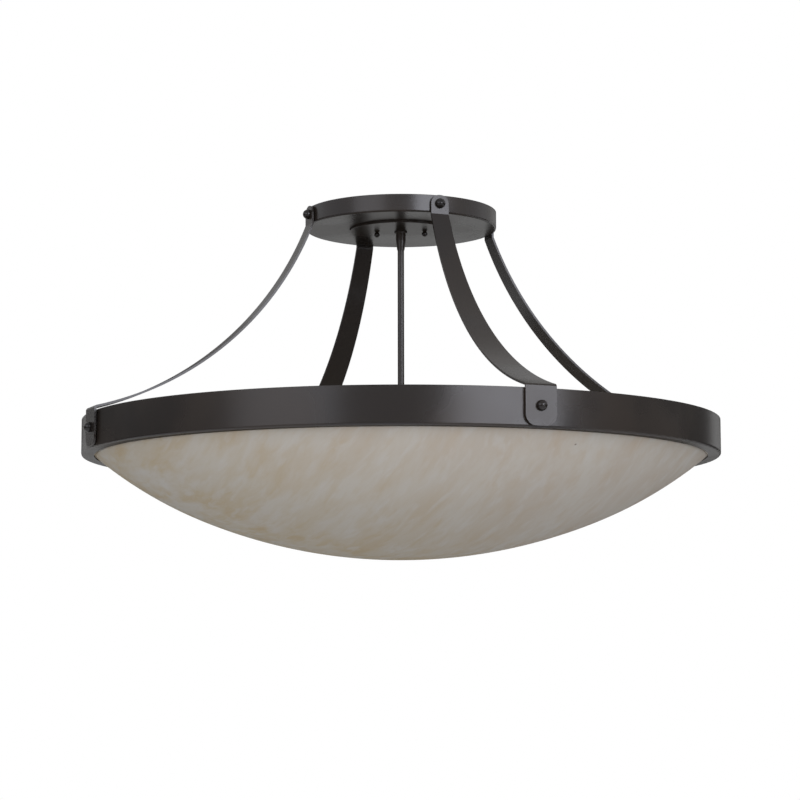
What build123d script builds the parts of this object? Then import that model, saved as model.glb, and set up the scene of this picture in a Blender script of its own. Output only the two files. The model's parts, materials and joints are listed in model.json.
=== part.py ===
from build123d import *
import math
import os

# Semi flush ceiling light: a round canopy, four tapered bent straps that carry a broad ring, a
# shallow bowl resting on the ring's lip, and a centre stem with four lampholders above the bowl.
#
# Millimetres. +Z is up. The origin is midway between the two ceiling box screws, on the ceiling
# plane, and the stem runs down the -Z axis. The straps stand on +X, +Y, -X and -Y.

# ---------------------------------------------------------------- driving dimensions

# Ring: a rolled band whose bottom edge is turned in to a lip that the bowl sits on
RING_OUTER_D = 914.4
RING_HEIGHT = 50.8
RING_SHEET = 2.0
RING_BEND_R = 3.0
RING_LIP_WIDTH = 18.2
RING_DROP = 360.3

# Canopy: a pan with a flat bottom, and the disc under it that carries the stem
CANOPY_OUTER_D = 278.0
CANOPY_HEIGHT = 25.0
CANOPY_SHEET = 1.5
CANOPY_BEND_R = 2.6
DISC_D = 149.0
DISC_SHEET = 3.0

# Straps: flat bar, narrow at the canopy and wide at the ring, bent through one long arc
STRAP_COUNT = 4
STRAP_THICKNESS = 3.0
STRAP_TOP_WIDTH = 26.0
STRAP_BOTTOM_WIDTH = 44.0
STRAP_ARC_R = 464.5
STRAP_BEND_R = 1.2
STRAP_BEND_BELOW_CANOPY = 3.0
STRAP_RISE_OVER_RING = 2.5
STRAP_TOP_CORNER_R = 12.2
STRAP_BOTTOM_CORNER_R = 14.5
UPPER_TAB_END_MARGIN = 0.3
LOWER_TAB_END_MARGIN = 2.0

# Ball knobs, cut flat where they seat, with their studs, spacers, lock washers and nuts
KNOB_BALL_D = 14.0
KNOB_STAND_OFF = 8.6
KNOB_STUD_D = 4.1
LOWER_KNOB_OVER_MIDDLE = 2.4
SPACER_D = 12.0
SPACER_LENGTH = 1.2
LOCK_WASHER_D = 7.6
LOCK_WASHER_THICKNESS = 1.0
SMALL_NUT_ACROSS_FLATS = 8.7
SMALL_NUT_HEIGHT = 3.2
STUD_END_PAST_NUT = 1.0
NUT_CHAMFER_SHARE = 0.8

# Bowl: a shallow shell of revolution with a turned-up heel and a flat rim
BOWL_DEPTH = 144.7
BOWL_WALL = 4.0
BOWL_RIM_THICKNESS = 4.0
BOWL_RIM_SEAT = 7.0
BOWL_RIM_ROUND_R = 1.2
BOWL_HEEL_R = 4.5
BOWL_HEEL_DROP = 0.2
BOWL_CROWN_FLATNESS = 1.04
BOWL_CROWN_SHARE = 0.60

# Ceiling hardware: two crossed bars, the studs and ball-ended cap nuts that hold the canopy up
BOX_SCREW_SPACING = 88.9
BOX_SLOT_LENGTH = 12.0
BOX_SLOT_WIDTH = 5.2
BOX_BAR_LENGTH = 112.0
BOX_BAR_WIDTH = 22.0
STUD_BAR_LENGTH = 94.0
STUD_BAR_WIDTH = 19.0
STUD_BAR_TURN = -28.0
BAR_SHEET = 2.5
STUD_SPACING = 69.85
STUD_D = 4.1
CAP_NUT_BALL_D = 8.2
CAP_NUT_STAND_OFF = 7.5
CAP_NUT_THREAD_DEPTH = 5.0

# Pipe thread nipple, check ring, coupling and stem
PIPE_D = 9.9
PIPE_BORE_D = 6.4
PIPE_NUT_ACROSS_FLATS = 15.0
PIPE_NUT_HEIGHT = 3.6
CHECK_RING_D = 18.6
CHECK_RING_HEIGHT = 2.6
CHECK_RING_ROUND_R = 1.5
COUPLING_D = 14.2
COUPLING_STRAIGHT = 10.5
COUPLING_TAPER = 13.5
COUPLING_END_D = 10.9
COUPLING_PIPE_DEPTH = 8.0
STEM_D = 9.5
STEM_WALL = 1.2

# Lamp cluster, inside the bowl
LAMP_COUNT = 4
CLUSTER_ABOVE_RING_BOTTOM = 39.8
CLUSTER_D = 66.0
CLUSTER_HEIGHT = 30.0
CLUSTER_SHEET = 2.0
CLUSTER_BEND_R = 4.0
CLUSTER_CAP_RISE = 6.0
CAP_FLAT_D = 21.0
CAP_EDGE = 1.0
CAP_DOME_SHARE = 0.72
FINIAL_D = 14.0
FINIAL_HEIGHT = 9.0
FINIAL_ROUND_R = 4.2
STEM_IN_FINIAL = 5.4
ARM_SHOWING = 8.0
ARM_IN_CLUSTER = 6.0
ARM_IN_HOLDER = 10.0

# Medium base lampholders
HOLDER_WALL = 4.8
HOLDER_FLOOR = 14.0
HOLDER_NECK_D = 24.0
HOLDER_NECK_LENGTH = 8.0
HOLDER_SHOULDER = 7.0
HOLDER_SHOULDER_R = 4.0
HOLDER_MOUTH_R = 1.5
SCREW_SHELL_WALL = 0.5
SCREW_SHELL_SETBACK = 3.0
SCREW_SHELL_OFF_FLOOR = 3.0
CONTACT_STRIP = 0.6
CONTACT_PIP = 1.0
CONTACT_WIDTH = 6.0
CONTACT_LENGTH = 12.0

# Bulbs
BULB_LENGTH = 108.0
BULB_GLOBE_D = 60.0
BULB_BASE_D = 26.0
BULB_BASE_LENGTH = 22.0
BULB_BASE_DRAW_IN = 3.5
BULB_TIP_LENGTH = 4.0
BULB_TIP_FLAT_D = 6.0
BULB_TIP_STEP = 1.2
BULB_COLLAR_STEP = 0.8
BULB_COLLAR_LENGTH = 5.0
BULB_COLLAR_IN_HOLDER = 2.1
BULB_FLARE_HOLLOW = 0.8
BULB_ROUND_ANGLE = 142.0

# Clearances
THREAD_GAP = 0.1
HOLE_GAP = 0.25
WASHER_GAP = 0.05
BOWL_GAP = 2.5
BULB_THREAD_GAP = 0.4
SCREW_SHELL_GAP = 0.3
CONTACT_GAP = 0.3
SHEET_EDGE_R = 0.6
CUT_OVERRUN = 5.0

# ---------------------------------------------------------------- places worked out from them

ring_outer_r = RING_OUTER_D / 2
ring_inner_r = ring_outer_r - RING_SHEET
ring_bottom = -RING_DROP
ring_top = ring_bottom + RING_HEIGHT
lip_inner_r = ring_outer_r - RING_LIP_WIDTH
lip_top = ring_bottom + RING_SHEET

canopy_r = CANOPY_OUTER_D / 2
canopy_inner_r = canopy_r - CANOPY_SHEET
canopy_bottom = -CANOPY_HEIGHT
canopy_floor = canopy_bottom + CANOPY_SHEET
disc_bottom = canopy_bottom - DISC_SHEET

box_bar_bottom = -BAR_SHEET
stud_bar_bottom = -2 * BAR_SHEET
check_ring_bottom = disc_bottom - CHECK_RING_HEIGHT
coupling_bottom = check_ring_bottom - COUPLING_STRAIGHT - COUPLING_TAPER
nipple_bottom = check_ring_bottom - COUPLING_PIPE_DEPTH

strap_top_x = canopy_r + SPACER_LENGTH
strap_bottom_x = ring_outer_r + SPACER_LENGTH
upper_knob_z = canopy_bottom / 2
lower_knob_z = (ring_bottom + ring_top) / 2 + LOWER_KNOB_OVER_MIDDLE

cluster_z = ring_bottom + CLUSTER_ABOVE_RING_BOTTOM
cluster_top = cluster_z + CLUSTER_HEIGHT / 2
cluster_bottom = cluster_z - CLUSTER_HEIGHT / 2
stem_top = nipple_bottom - 2 * THREAD_GAP
stem_bottom = cluster_bottom - STEM_IN_FINIAL

# Distances out from the stem along a lampholder and its bulb
bulb_base_r = BULB_BASE_D / 2
shell_inner_r = bulb_base_r + BULB_THREAD_GAP
shell_outer_r = shell_inner_r + SCREW_SHELL_WALL
cavity_r = shell_outer_r + SCREW_SHELL_GAP
holder_start = CLUSTER_D / 2 + ARM_SHOWING
cavity_floor = holder_start + HOLDER_FLOOR
tip_start = cavity_floor + CONTACT_STRIP + CONTACT_PIP + CONTACT_GAP
base_start = tip_start + BULB_TIP_LENGTH
globe_start = base_start + BULB_BASE_LENGTH
holder_mouth = globe_start + BULB_COLLAR_IN_HOLDER


# ---------------------------------------------------------------- shapes used more than once


def around(solid, count):
    """Evenly spaced copies of a solid round the stem, from +X."""
    return [Rot(0, 0, index * 360 / count) * solid for index in range(count)]


def rod(diameter, length):
    """Cylinder that stands on the XY plane."""
    return Pos(0, 0, length / 2) * Cylinder(diameter / 2, length)


def tube(diameter, bore, length):
    """Straight tube that stands on the XY plane."""
    return rod(diameter, length) - rod(bore, length)


def upright_hole(diameter, bottom, top):
    """Cutting rod along Z that overruns a wall from bottom to top."""
    return Pos(0, 0, bottom - CUT_OVERRUN) * rod(diameter, top - bottom + 2 * CUT_OVERRUN)


def side_hole(diameter, inner, outer, z):
    """Cutting rod along +X at height z that overruns a wall from inner to outer."""
    cutter = along_x(rod(diameter, outer - inner + 2 * CUT_OVERRUN))
    return Pos(inner - CUT_OVERRUN, 0, z) * cutter


def along_x(solid):
    """Turns a solid built along +Z to lie along +X."""
    return Rot(0, 90, 0) * solid


def seated_ball(diameter, stand_off):
    """Ball on the XY plane, cut flat by it so that the ball stands off by no more than stand_off."""
    ball = Pos(0, 0, stand_off - diameter / 2) * Sphere(diameter / 2)
    return ball - Pos(0, 0, -diameter) * rod(2 * diameter, diameter)


def hex_nut(across_flats, bore, height):
    """Hexagon nut that stands on the XY plane, its corners chamfered by a cone at both ends."""
    hexagon = extrude(RegularPolygon(across_flats / 2, 6, major_radius=False), height)
    corner_r = across_flats / math.sqrt(3)
    chamfer_size = (corner_r - across_flats / 2) * NUT_CHAMFER_SHARE
    blank = rod(2 * corner_r, height)
    blank = chamfer(blank.edges().filter_by(GeomType.CIRCLE), chamfer_size)
    return (hexagon & blank) - rod(bore, height)


def small_nut(bore_for):
    """Nut for a stud or knob of the given diameter."""
    return hex_nut(SMALL_NUT_ACROSS_FLATS, bore_for + 2 * THREAD_GAP, SMALL_NUT_HEIGHT)


def pipe_nut(pipe_diameter):
    """Thin nut for the nipple or the stem."""
    return hex_nut(PIPE_NUT_ACROSS_FLATS, pipe_diameter + 2 * THREAD_GAP, PIPE_NUT_HEIGHT)


# ---------------------------------------------------------------- ring and bowl


def make_ring():
    """Band with a lip turned in at the bottom, and one stud hole behind each strap."""
    with BuildPart() as ring:
        with BuildSketch(Plane.XZ):
            with BuildLine():
                Polyline(
                    (ring_outer_r, ring_bottom),
                    (ring_outer_r, ring_top),
                    (ring_inner_r, ring_top),
                    (ring_inner_r, lip_top),
                    (lip_inner_r, lip_top),
                    (lip_inner_r, ring_bottom),
                    close=True,
                )
            make_face()
            outer_bend = vertices().sort_by_distance((ring_outer_r, ring_bottom))[0]
            fillet(outer_bend, RING_BEND_R)
            inner_bend = vertices().sort_by_distance((ring_inner_r, lip_top))[0]
            fillet(inner_bend, RING_BEND_R - RING_SHEET)
            top_corners = vertices().group_by(Axis.Y)[-1]
            fillet(top_corners, SHEET_EDGE_R)
        revolve(axis=Axis.Z)
    hole = side_hole(KNOB_STUD_D + 2 * HOLE_GAP, ring_inner_r, ring_outer_r, lower_knob_z)
    return ring.part - around(hole, STRAP_COUNT)


def bowl_profile():
    """Bowl section: a flat crown arc, a tighter shoulder arc, the heel, the neck and the rim."""
    neck_r = lip_inner_r - BOWL_GAP
    inner_neck_r = neck_r - BOWL_WALL
    rim_r = lip_inner_r + BOWL_RIM_SEAT
    rim_top = lip_top + BOWL_RIM_THICKNESS
    bottom = ring_bottom - BOWL_DEPTH
    heel_z = ring_bottom - BOWL_HEEL_DROP
    rise = heel_z - bottom
    ball_r = (neck_r**2 + rise**2) / (2 * rise)
    crown_r = BOWL_CROWN_FLATNESS * ball_r
    crown_angle = BOWL_CROWN_SHARE * math.asin(neck_r / ball_r)
    sine, cosine = math.sin(crown_angle), math.cos(crown_angle)
    crown_centre_z = bottom + crown_r
    across = neck_r - crown_r * sine
    up = heel_z - (crown_centre_z - crown_r * cosine)
    shoulder_r = (across**2 + up**2) / (2 * (up * cosine - across * sine))
    centre_x = (crown_r - shoulder_r) * sine
    centre_z = crown_centre_z - (crown_r - shoulder_r) * cosine

    def on_arc(x, z, radius, angle):
        """Point on an arc about (x, z), at an angle from straight down."""
        return (x + radius * math.sin(angle), z - radius * math.cos(angle))

    def wall_arcs(inset):
        """Crown and shoulder arcs of a face that lies inset from the outer one."""
        crown_arc_r, shoulder_arc_r = crown_r - inset, shoulder_r - inset
        end_angle = math.asin((neck_r - inset - centre_x) / shoulder_arc_r)
        middle_angle = (crown_angle + end_angle) / 2
        crown = ThreePointArc(
            on_arc(0, crown_centre_z, crown_arc_r, 0),
            on_arc(0, crown_centre_z, crown_arc_r, crown_angle / 2),
            on_arc(0, crown_centre_z, crown_arc_r, crown_angle),
        )
        shoulder = ThreePointArc(
            crown @ 1,
            on_arc(centre_x, centre_z, shoulder_arc_r, middle_angle),
            on_arc(centre_x, centre_z, shoulder_arc_r, end_angle),
        )
        return crown, shoulder

    with BuildSketch(Plane.XZ) as section:
        with BuildLine():
            outer_crown, outer_shoulder = wall_arcs(0)
            inner_crown, inner_shoulder = wall_arcs(BOWL_WALL)
            Polyline(
                outer_shoulder @ 1,
                (neck_r, lip_top),
                (rim_r, lip_top),
                (rim_r, rim_top),
                (inner_neck_r, rim_top),
                inner_shoulder @ 1,
            )
            Line(inner_crown @ 0, outer_crown @ 0)
        make_face()
        fillet(vertices().sort_by_distance(outer_shoulder @ 1)[0], BOWL_HEEL_R)
        fillet(vertices().sort_by_distance(inner_shoulder @ 1)[0], BOWL_HEEL_R - BOWL_WALL)
        rim_corners = [(rim_r, lip_top), (rim_r, rim_top), (inner_neck_r, rim_top)]
        fillet([vertices().sort_by_distance(corner)[0] for corner in rim_corners], BOWL_RIM_ROUND_R)
    return section.sketch


def make_bowl():
    return revolve(bowl_profile(), axis=Axis.Z)


# ---------------------------------------------------------------- canopy and ceiling hardware


def at_studs(solid):
    """Copies of a solid on the axes of the two mounting studs."""
    along_bar = STUD_SPACING / 2
    return [Rot(0, 0, STUD_BAR_TURN) * Pos(side * along_bar, 0, 0) * solid for side in (1, -1)]


def make_canopy_pan():
    """Pan open to the ceiling, with holes for the nipple, the two studs and the strap studs."""
    hole_r = PIPE_D / 2 + HOLE_GAP
    with BuildPart() as pan:
        with BuildSketch(Plane.XZ):
            with BuildLine():
                Polyline(
                    (hole_r, canopy_bottom),
                    (canopy_r, canopy_bottom),
                    (canopy_r, 0),
                    (canopy_inner_r, 0),
                    (canopy_inner_r, canopy_floor),
                    (hole_r, canopy_floor),
                    close=True,
                )
            make_face()
            outer_bend = vertices().sort_by_distance((canopy_r, canopy_bottom))[0]
            fillet(outer_bend, CANOPY_BEND_R)
            inner_bend = vertices().sort_by_distance((canopy_inner_r, canopy_floor))[0]
            fillet(inner_bend, CANOPY_BEND_R - CANOPY_SHEET)
            outer_top = vertices().sort_by_distance((canopy_r, 0))[0]
            fillet(outer_top, SHEET_EDGE_R)
        revolve(axis=Axis.Z)
    knob_hole = side_hole(KNOB_STUD_D + 2 * HOLE_GAP, canopy_inner_r, canopy_r, upper_knob_z)
    stud_hole = upright_hole(STUD_D + 2 * HOLE_GAP, canopy_bottom, canopy_floor)
    return pan.part - around(knob_hole, STRAP_COUNT) - at_studs(stud_hole)


def make_centre_disc():
    """Disc under the canopy, with holes for the nipple and the two studs."""
    disc = rod(DISC_D, DISC_SHEET)
    disc = fillet(disc.edges().group_by(Axis.Z)[0], SHEET_EDGE_R)
    disc = Pos(0, 0, disc_bottom) * disc
    pipe_hole = upright_hole(PIPE_D + 2 * HOLE_GAP, disc_bottom, canopy_bottom)
    stud_hole = upright_hole(STUD_D + 2 * HOLE_GAP, disc_bottom, canopy_bottom)
    return disc - pipe_hole - at_studs(stud_hole)


def bar_blank(length, width):
    """Round-ended flat bar with the nipple's hole, its top face on the XY plane."""
    outline = SlotOverall(length, width)
    return extrude(outline - Circle(PIPE_D / 2 + THREAD_GAP), -BAR_SHEET)


def make_box_bar():
    """Upper bar, with two slots for the ceiling box screws."""
    slot = extrude(SlotOverall(BOX_SLOT_LENGTH, BOX_SLOT_WIDTH), -BAR_SHEET)
    slots = [Pos(side * BOX_SCREW_SPACING / 2, 0, 0) * slot for side in (-1, 1)]
    return bar_blank(BOX_BAR_LENGTH, BOX_BAR_WIDTH) - slots


def make_stud_bar():
    """Lower bar, turned on the nipple, with the two tapped holes for the mounting studs."""
    bar = Pos(0, 0, box_bar_bottom) * Rot(0, 0, STUD_BAR_TURN) * bar_blank(STUD_BAR_LENGTH, STUD_BAR_WIDTH)
    return bar - at_studs(upright_hole(STUD_D + 2 * THREAD_GAP, stud_bar_bottom, box_bar_bottom))


def make_mounting_studs():
    stud_bottom = disc_bottom - CAP_NUT_THREAD_DEPTH
    return at_studs(Pos(0, 0, stud_bottom) * rod(STUD_D, box_bar_bottom - stud_bottom))


def make_stud_nuts():
    return at_studs(Pos(0, 0, stud_bar_bottom - SMALL_NUT_HEIGHT) * small_nut(STUD_D))


def make_cap_nuts():
    """Ball-ended nuts that close the studs under the disc."""
    thread = rod(STUD_D + 2 * THREAD_GAP, CAP_NUT_THREAD_DEPTH + THREAD_GAP)
    nut = seated_ball(CAP_NUT_BALL_D, CAP_NUT_STAND_OFF) - thread
    return at_studs(Pos(0, 0, disc_bottom) * Rot(180, 0, 0) * nut)


def make_nipple():
    return Pos(0, 0, nipple_bottom) * tube(PIPE_D, PIPE_BORE_D, -nipple_bottom)


def make_nipple_nuts():
    """One nut under the stud bar, and one on the canopy's floor, which the stem hangs from."""
    heights = (stud_bar_bottom - PIPE_NUT_HEIGHT, canopy_floor)
    return [Pos(0, 0, z) * pipe_nut(PIPE_D) for z in heights]


def make_check_ring():
    ring = rod(CHECK_RING_D, CHECK_RING_HEIGHT)
    ring = fillet(ring.edges().group_by(Axis.Z)[0], CHECK_RING_ROUND_R)
    ring -= rod(PIPE_D + 2 * THREAD_GAP, CHECK_RING_HEIGHT)
    return Pos(0, 0, check_ring_bottom) * ring


def make_coupling():
    """Turned coupling: straight above, tapered to the stem below, bored for both."""
    pipe_r = PIPE_D / 2 + THREAD_GAP
    stem_r = STEM_D / 2 + THREAD_GAP
    with BuildPart() as coupling:
        with BuildSketch(Plane.XZ):
            with BuildLine():
                Polyline(
                    (pipe_r, check_ring_bottom),
                    (COUPLING_D / 2, check_ring_bottom),
                    (COUPLING_D / 2, check_ring_bottom - COUPLING_STRAIGHT),
                    (COUPLING_END_D / 2, coupling_bottom),
                    (stem_r, coupling_bottom),
                    (stem_r, nipple_bottom),
                    (pipe_r, nipple_bottom),
                    close=True,
                )
            make_face()
        revolve(axis=Axis.Z)
    return coupling.part


# ---------------------------------------------------------------- straps and their knobs


def strap_half_width(share):
    """Half of the strap's width at a share of the way along its arc."""
    return (STRAP_TOP_WIDTH + (STRAP_BOTTOM_WIDTH - STRAP_TOP_WIDTH) * share) / 2


def make_strap():
    """Strap on +X: side view of the bent bar, cut to the taper that shows in plan."""
    upper_bend = (strap_top_x, canopy_bottom - STRAP_BEND_BELOW_CANOPY)
    lower_bend = (strap_bottom_x, ring_top + STRAP_RISE_OVER_RING)
    plan_start = strap_top_x - STRAP_THICKNESS
    plan_end = strap_bottom_x + 2 * STRAP_THICKNESS
    with BuildPart() as strap:
        with BuildSketch(Plane.XZ):
            with BuildLine():
                top_tab = Line((strap_top_x, -UPPER_TAB_END_MARGIN), upper_bend)
                arc = RadiusArc(upper_bend, lower_bend, -STRAP_ARC_R)
                Line(lower_bend, (strap_bottom_x, ring_bottom + LOWER_TAB_END_MARGIN))
                bends = vertices().sort_by_distance(top_tab @ 1)[0:1]
                bends += vertices().sort_by_distance(arc @ 1)[0:1]
                fillet(bends, STRAP_BEND_R)
                offset(amount=STRAP_THICKNESS, side=Side.LEFT)
            make_face()
        extrude(amount=STRAP_BOTTOM_WIDTH, both=True)
        with BuildSketch(Plane.XY.offset(ring_bottom)):
            with BuildLine():
                side_start = (plan_start, strap_half_width(0))
                side_middle = ((arc @ 0.5).X, strap_half_width(0.5))
                side_end = (plan_end, strap_half_width(1))
                Line((plan_start, 0), side_start)
                ThreePointArc(side_start, side_middle, side_end)
                Line(side_end, (plan_end, 0))
                mirror(about=Plane.XZ)
            make_face()
        extrude(amount=RING_DROP, mode=Mode.INTERSECT)
        for end, radius in ((-1, STRAP_TOP_CORNER_R), (0, STRAP_BOTTOM_CORNER_R)):
            corners = edges().group_by(Axis.Z)[end].filter_by(lambda edge: edge.length < 2 * STRAP_THICKNESS)
            fillet(corners, radius)
    stud_hole_d = KNOB_STUD_D + 2 * HOLE_GAP
    upper_hole = side_hole(stud_hole_d, strap_top_x, strap_top_x + STRAP_THICKNESS, upper_knob_z)
    lower_hole = side_hole(stud_hole_d, strap_bottom_x, strap_bottom_x + STRAP_THICKNESS, lower_knob_z)
    return strap.part - upper_hole - lower_hole


def flat_seat_inside(inner_r, half_width):
    """Distance from the stem at which a flat washer touches a band's round inner face."""
    return math.sqrt(inner_r**2 - half_width**2)


def fastener_set(outer_r, inner_r, z):
    """Knob, spacer, lock washer and nut of one strap end, on +X."""
    washer_outer = flat_seat_inside(inner_r, LOCK_WASHER_D / 2) - WASHER_GAP
    nut_outer = washer_outer - LOCK_WASHER_THICKNESS
    nut_inner = nut_outer - SMALL_NUT_HEIGHT
    stud_start = nut_inner - STUD_END_PAST_NUT
    tab_outer = outer_r + SPACER_LENGTH + STRAP_THICKNESS
    stud_end = tab_outer + KNOB_STAND_OFF / 2
    bore = KNOB_STUD_D + 2 * THREAD_GAP
    knob = Pos(tab_outer, 0, 0) * along_x(seated_ball(KNOB_BALL_D, KNOB_STAND_OFF))
    knob += Pos(stud_start, 0, 0) * along_x(rod(KNOB_STUD_D, stud_end - stud_start))
    pieces = {
        "knobs": knob,
        "spacers": Pos(outer_r, 0, 0) * along_x(tube(SPACER_D, bore, SPACER_LENGTH)),
        "lock_washers": Pos(nut_outer, 0, 0) * along_x(tube(LOCK_WASHER_D, bore, LOCK_WASHER_THICKNESS)),
        "nuts": Pos(nut_inner, 0, 0) * along_x(small_nut(KNOB_STUD_D)),
    }
    return {name: Pos(0, 0, z) * piece for name, piece in pieces.items()}


# ---------------------------------------------------------------- stem and lamp cluster


def make_stem():
    return Pos(0, 0, stem_bottom) * tube(STEM_D, STEM_D - 2 * STEM_WALL, stem_top - stem_bottom)


def make_cluster_body():
    """Open-topped cup with a side hole for each arm and a bottom hole for the stem."""
    cup = rod(CLUSTER_D, CLUSTER_HEIGHT)
    cup = fillet(cup.edges().group_by(Axis.Z)[0], CLUSTER_BEND_R)
    inside = rod(CLUSTER_D - 2 * CLUSTER_SHEET, CLUSTER_HEIGHT)
    inside = fillet(inside.edges().group_by(Axis.Z)[0], CLUSTER_BEND_R - CLUSTER_SHEET)
    cup = Pos(0, 0, cluster_bottom) * (cup - Pos(0, 0, CLUSTER_SHEET) * inside)
    stem_hole = upright_hole(STEM_D + 2 * HOLE_GAP, cluster_bottom, cluster_bottom + CLUSTER_SHEET)
    wall = CLUSTER_D / 2 - CLUSTER_SHEET, CLUSTER_D / 2
    arm_hole = side_hole(PIPE_D + 2 * THREAD_GAP, *wall, cluster_z)
    return cup - stem_hole - around(arm_hole, LAMP_COUNT)


def make_cluster_cap():
    """Domed cover with a flat middle for the nut above it."""
    rim_r = CLUSTER_D / 2
    flat_r = CAP_FLAT_D / 2
    hole_r = STEM_D / 2 + HOLE_GAP
    dome_x, dome_z = (flat_r + rim_r) / 2, CLUSTER_CAP_RISE * CAP_DOME_SHARE
    underside = CLUSTER_CAP_RISE - CLUSTER_SHEET
    with BuildPart() as cap:
        with BuildSketch(Plane.XZ):
            with BuildLine():
                Line((hole_r, CLUSTER_CAP_RISE), (flat_r, CLUSTER_CAP_RISE))
                ThreePointArc((flat_r, CLUSTER_CAP_RISE), (dome_x, dome_z), (rim_r, CAP_EDGE))
                Polyline((rim_r, CAP_EDGE), (rim_r, 0), (rim_r - CLUSTER_SHEET, 0))
                under_dome = (dome_x - CLUSTER_SHEET / 2, dome_z - CLUSTER_SHEET)
                ThreePointArc((rim_r - CLUSTER_SHEET, 0), under_dome, (flat_r, underside))
                Polyline((flat_r, underside), (hole_r, underside), (hole_r, CLUSTER_CAP_RISE))
            make_face()
        revolve(axis=Axis.Z)
    return Pos(0, 0, cluster_top) * cap.part


def make_cluster_nut():
    return Pos(0, 0, cluster_top + CLUSTER_CAP_RISE) * pipe_nut(STEM_D)


def make_cluster_finial():
    """Domed nut under the cluster body, blind below the stem's end."""
    finial = rod(FINIAL_D, FINIAL_HEIGHT)
    finial = fillet(finial.edges().group_by(Axis.Z)[0], FINIAL_ROUND_R)
    depth = STEM_IN_FINIAL + THREAD_GAP
    finial -= Pos(0, 0, FINIAL_HEIGHT - depth) * rod(STEM_D + 2 * THREAD_GAP, depth)
    return Pos(0, 0, cluster_bottom - FINIAL_HEIGHT) * finial


def make_arm_nipples():
    start = CLUSTER_D / 2 - ARM_IN_CLUSTER
    end = holder_start + ARM_IN_HOLDER
    nipple = Pos(start, 0, cluster_z) * along_x(tube(PIPE_D, PIPE_BORE_D, end - start))
    return around(nipple, LAMP_COUNT)


def turned(points, arcs=()):
    """Solid turned about the lampholder's axis on +X, from points (distance out, radius)."""
    with BuildPart() as part:
        with BuildSketch(Plane.XZ):
            with BuildLine():
                Polyline(*points, close=True)
            make_face()
            for corner, radius in arcs:
                fillet(vertices().sort_by_distance(corner)[0], radius)
        revolve(axis=Axis.X)
    return Pos(0, 0, cluster_z) * part.part


def make_lampholder():
    """Porcelain lampholder: a neck on the arm, a wider barrel and the cavity for the base."""
    barrel_r = cavity_r + HOLDER_WALL
    neck_r = HOLDER_NECK_D / 2
    neck_end = holder_start + HOLDER_NECK_LENGTH
    thread_r = PIPE_D / 2 + THREAD_GAP
    shoulder = (neck_end + HOLDER_SHOULDER, barrel_r)
    mouth = (holder_mouth, barrel_r)
    points = [
        (holder_start, thread_r),
        (holder_start, neck_r),
        (neck_end, neck_r),
        shoulder,
        mouth,
        (holder_mouth, cavity_r),
        (cavity_floor, cavity_r),
        (cavity_floor, thread_r),
    ]
    return turned(points, [(shoulder, HOLDER_SHOULDER_R), (mouth, HOLDER_MOUTH_R)])


def make_screw_shell():
    """Brass shell that the bulb's base screws into."""
    start = cavity_floor + SCREW_SHELL_OFF_FLOOR
    length = holder_mouth - SCREW_SHELL_SETBACK - start
    return Pos(start, 0, cluster_z) * along_x(tube(2 * shell_outer_r, 2 * shell_inner_r, length))


def make_centre_contact():
    """Spring strip on the cavity's floor, with a raised pip for the bulb's tip."""
    strip = Pos(CONTACT_STRIP / 2, 0, 0) * Box(CONTACT_STRIP, CONTACT_LENGTH, CONTACT_WIDTH)
    pip = Pos(CONTACT_STRIP, 0, 0) * along_x(rod(CONTACT_WIDTH, CONTACT_PIP))
    return Pos(cavity_floor, 0, cluster_z) * (strip + pip)


def make_bulb_base():
    """Screw base, drawn in at the inner end."""
    points = [
        (base_start, 0),
        (base_start, bulb_base_r - BULB_BASE_DRAW_IN),
        (base_start + BULB_BASE_DRAW_IN, bulb_base_r),
        (globe_start, bulb_base_r),
        (globe_start, 0),
    ]
    return turned(points)


def make_bulb_tip():
    """Insulator and solder tip at the end of the base."""
    flat_r = BULB_TIP_FLAT_D / 2
    points = [
        (tip_start, 0),
        (tip_start, flat_r),
        (tip_start + BULB_TIP_STEP, flat_r + BULB_TIP_STEP),
        (base_start, bulb_base_r - BULB_BASE_DRAW_IN - BULB_TIP_STEP),
        (base_start, 0),
    ]
    return turned(points)


def make_bulb_globe():
    """Pear-shaped envelope: a collar, a flare and a round end."""
    end = tip_start + BULB_LENGTH
    globe_r = BULB_GLOBE_D / 2
    collar_r = bulb_base_r + BULB_COLLAR_STEP
    collar_end = globe_start + BULB_COLLAR_LENGTH

    def on_round(angle):
        """Point of the round end, at an angle in degrees from its tip."""
        turn = math.radians(angle)
        return (end - globe_r + globe_r * math.cos(turn), globe_r * math.sin(turn))

    flare_end = on_round(BULB_ROUND_ANGLE)
    flare_x, flare_r = (collar_end + flare_end[0]) / 2, (collar_r + flare_end[1]) / 2
    with BuildPart() as globe:
        with BuildSketch(Plane.XZ):
            with BuildLine():
                Polyline((globe_start, 0), (globe_start, collar_r), (collar_end, collar_r))
                ThreePointArc((collar_end, collar_r), (flare_x, flare_r - BULB_FLARE_HOLLOW), flare_end)
                ThreePointArc(flare_end, on_round(BULB_ROUND_ANGLE / 2), (end, 0))
                Line((end, 0), (globe_start, 0))
            make_face()
        revolve(axis=Axis.X)
    return Pos(0, 0, cluster_z) * globe.part


# ---------------------------------------------------------------- all the pieces, by name


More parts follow.
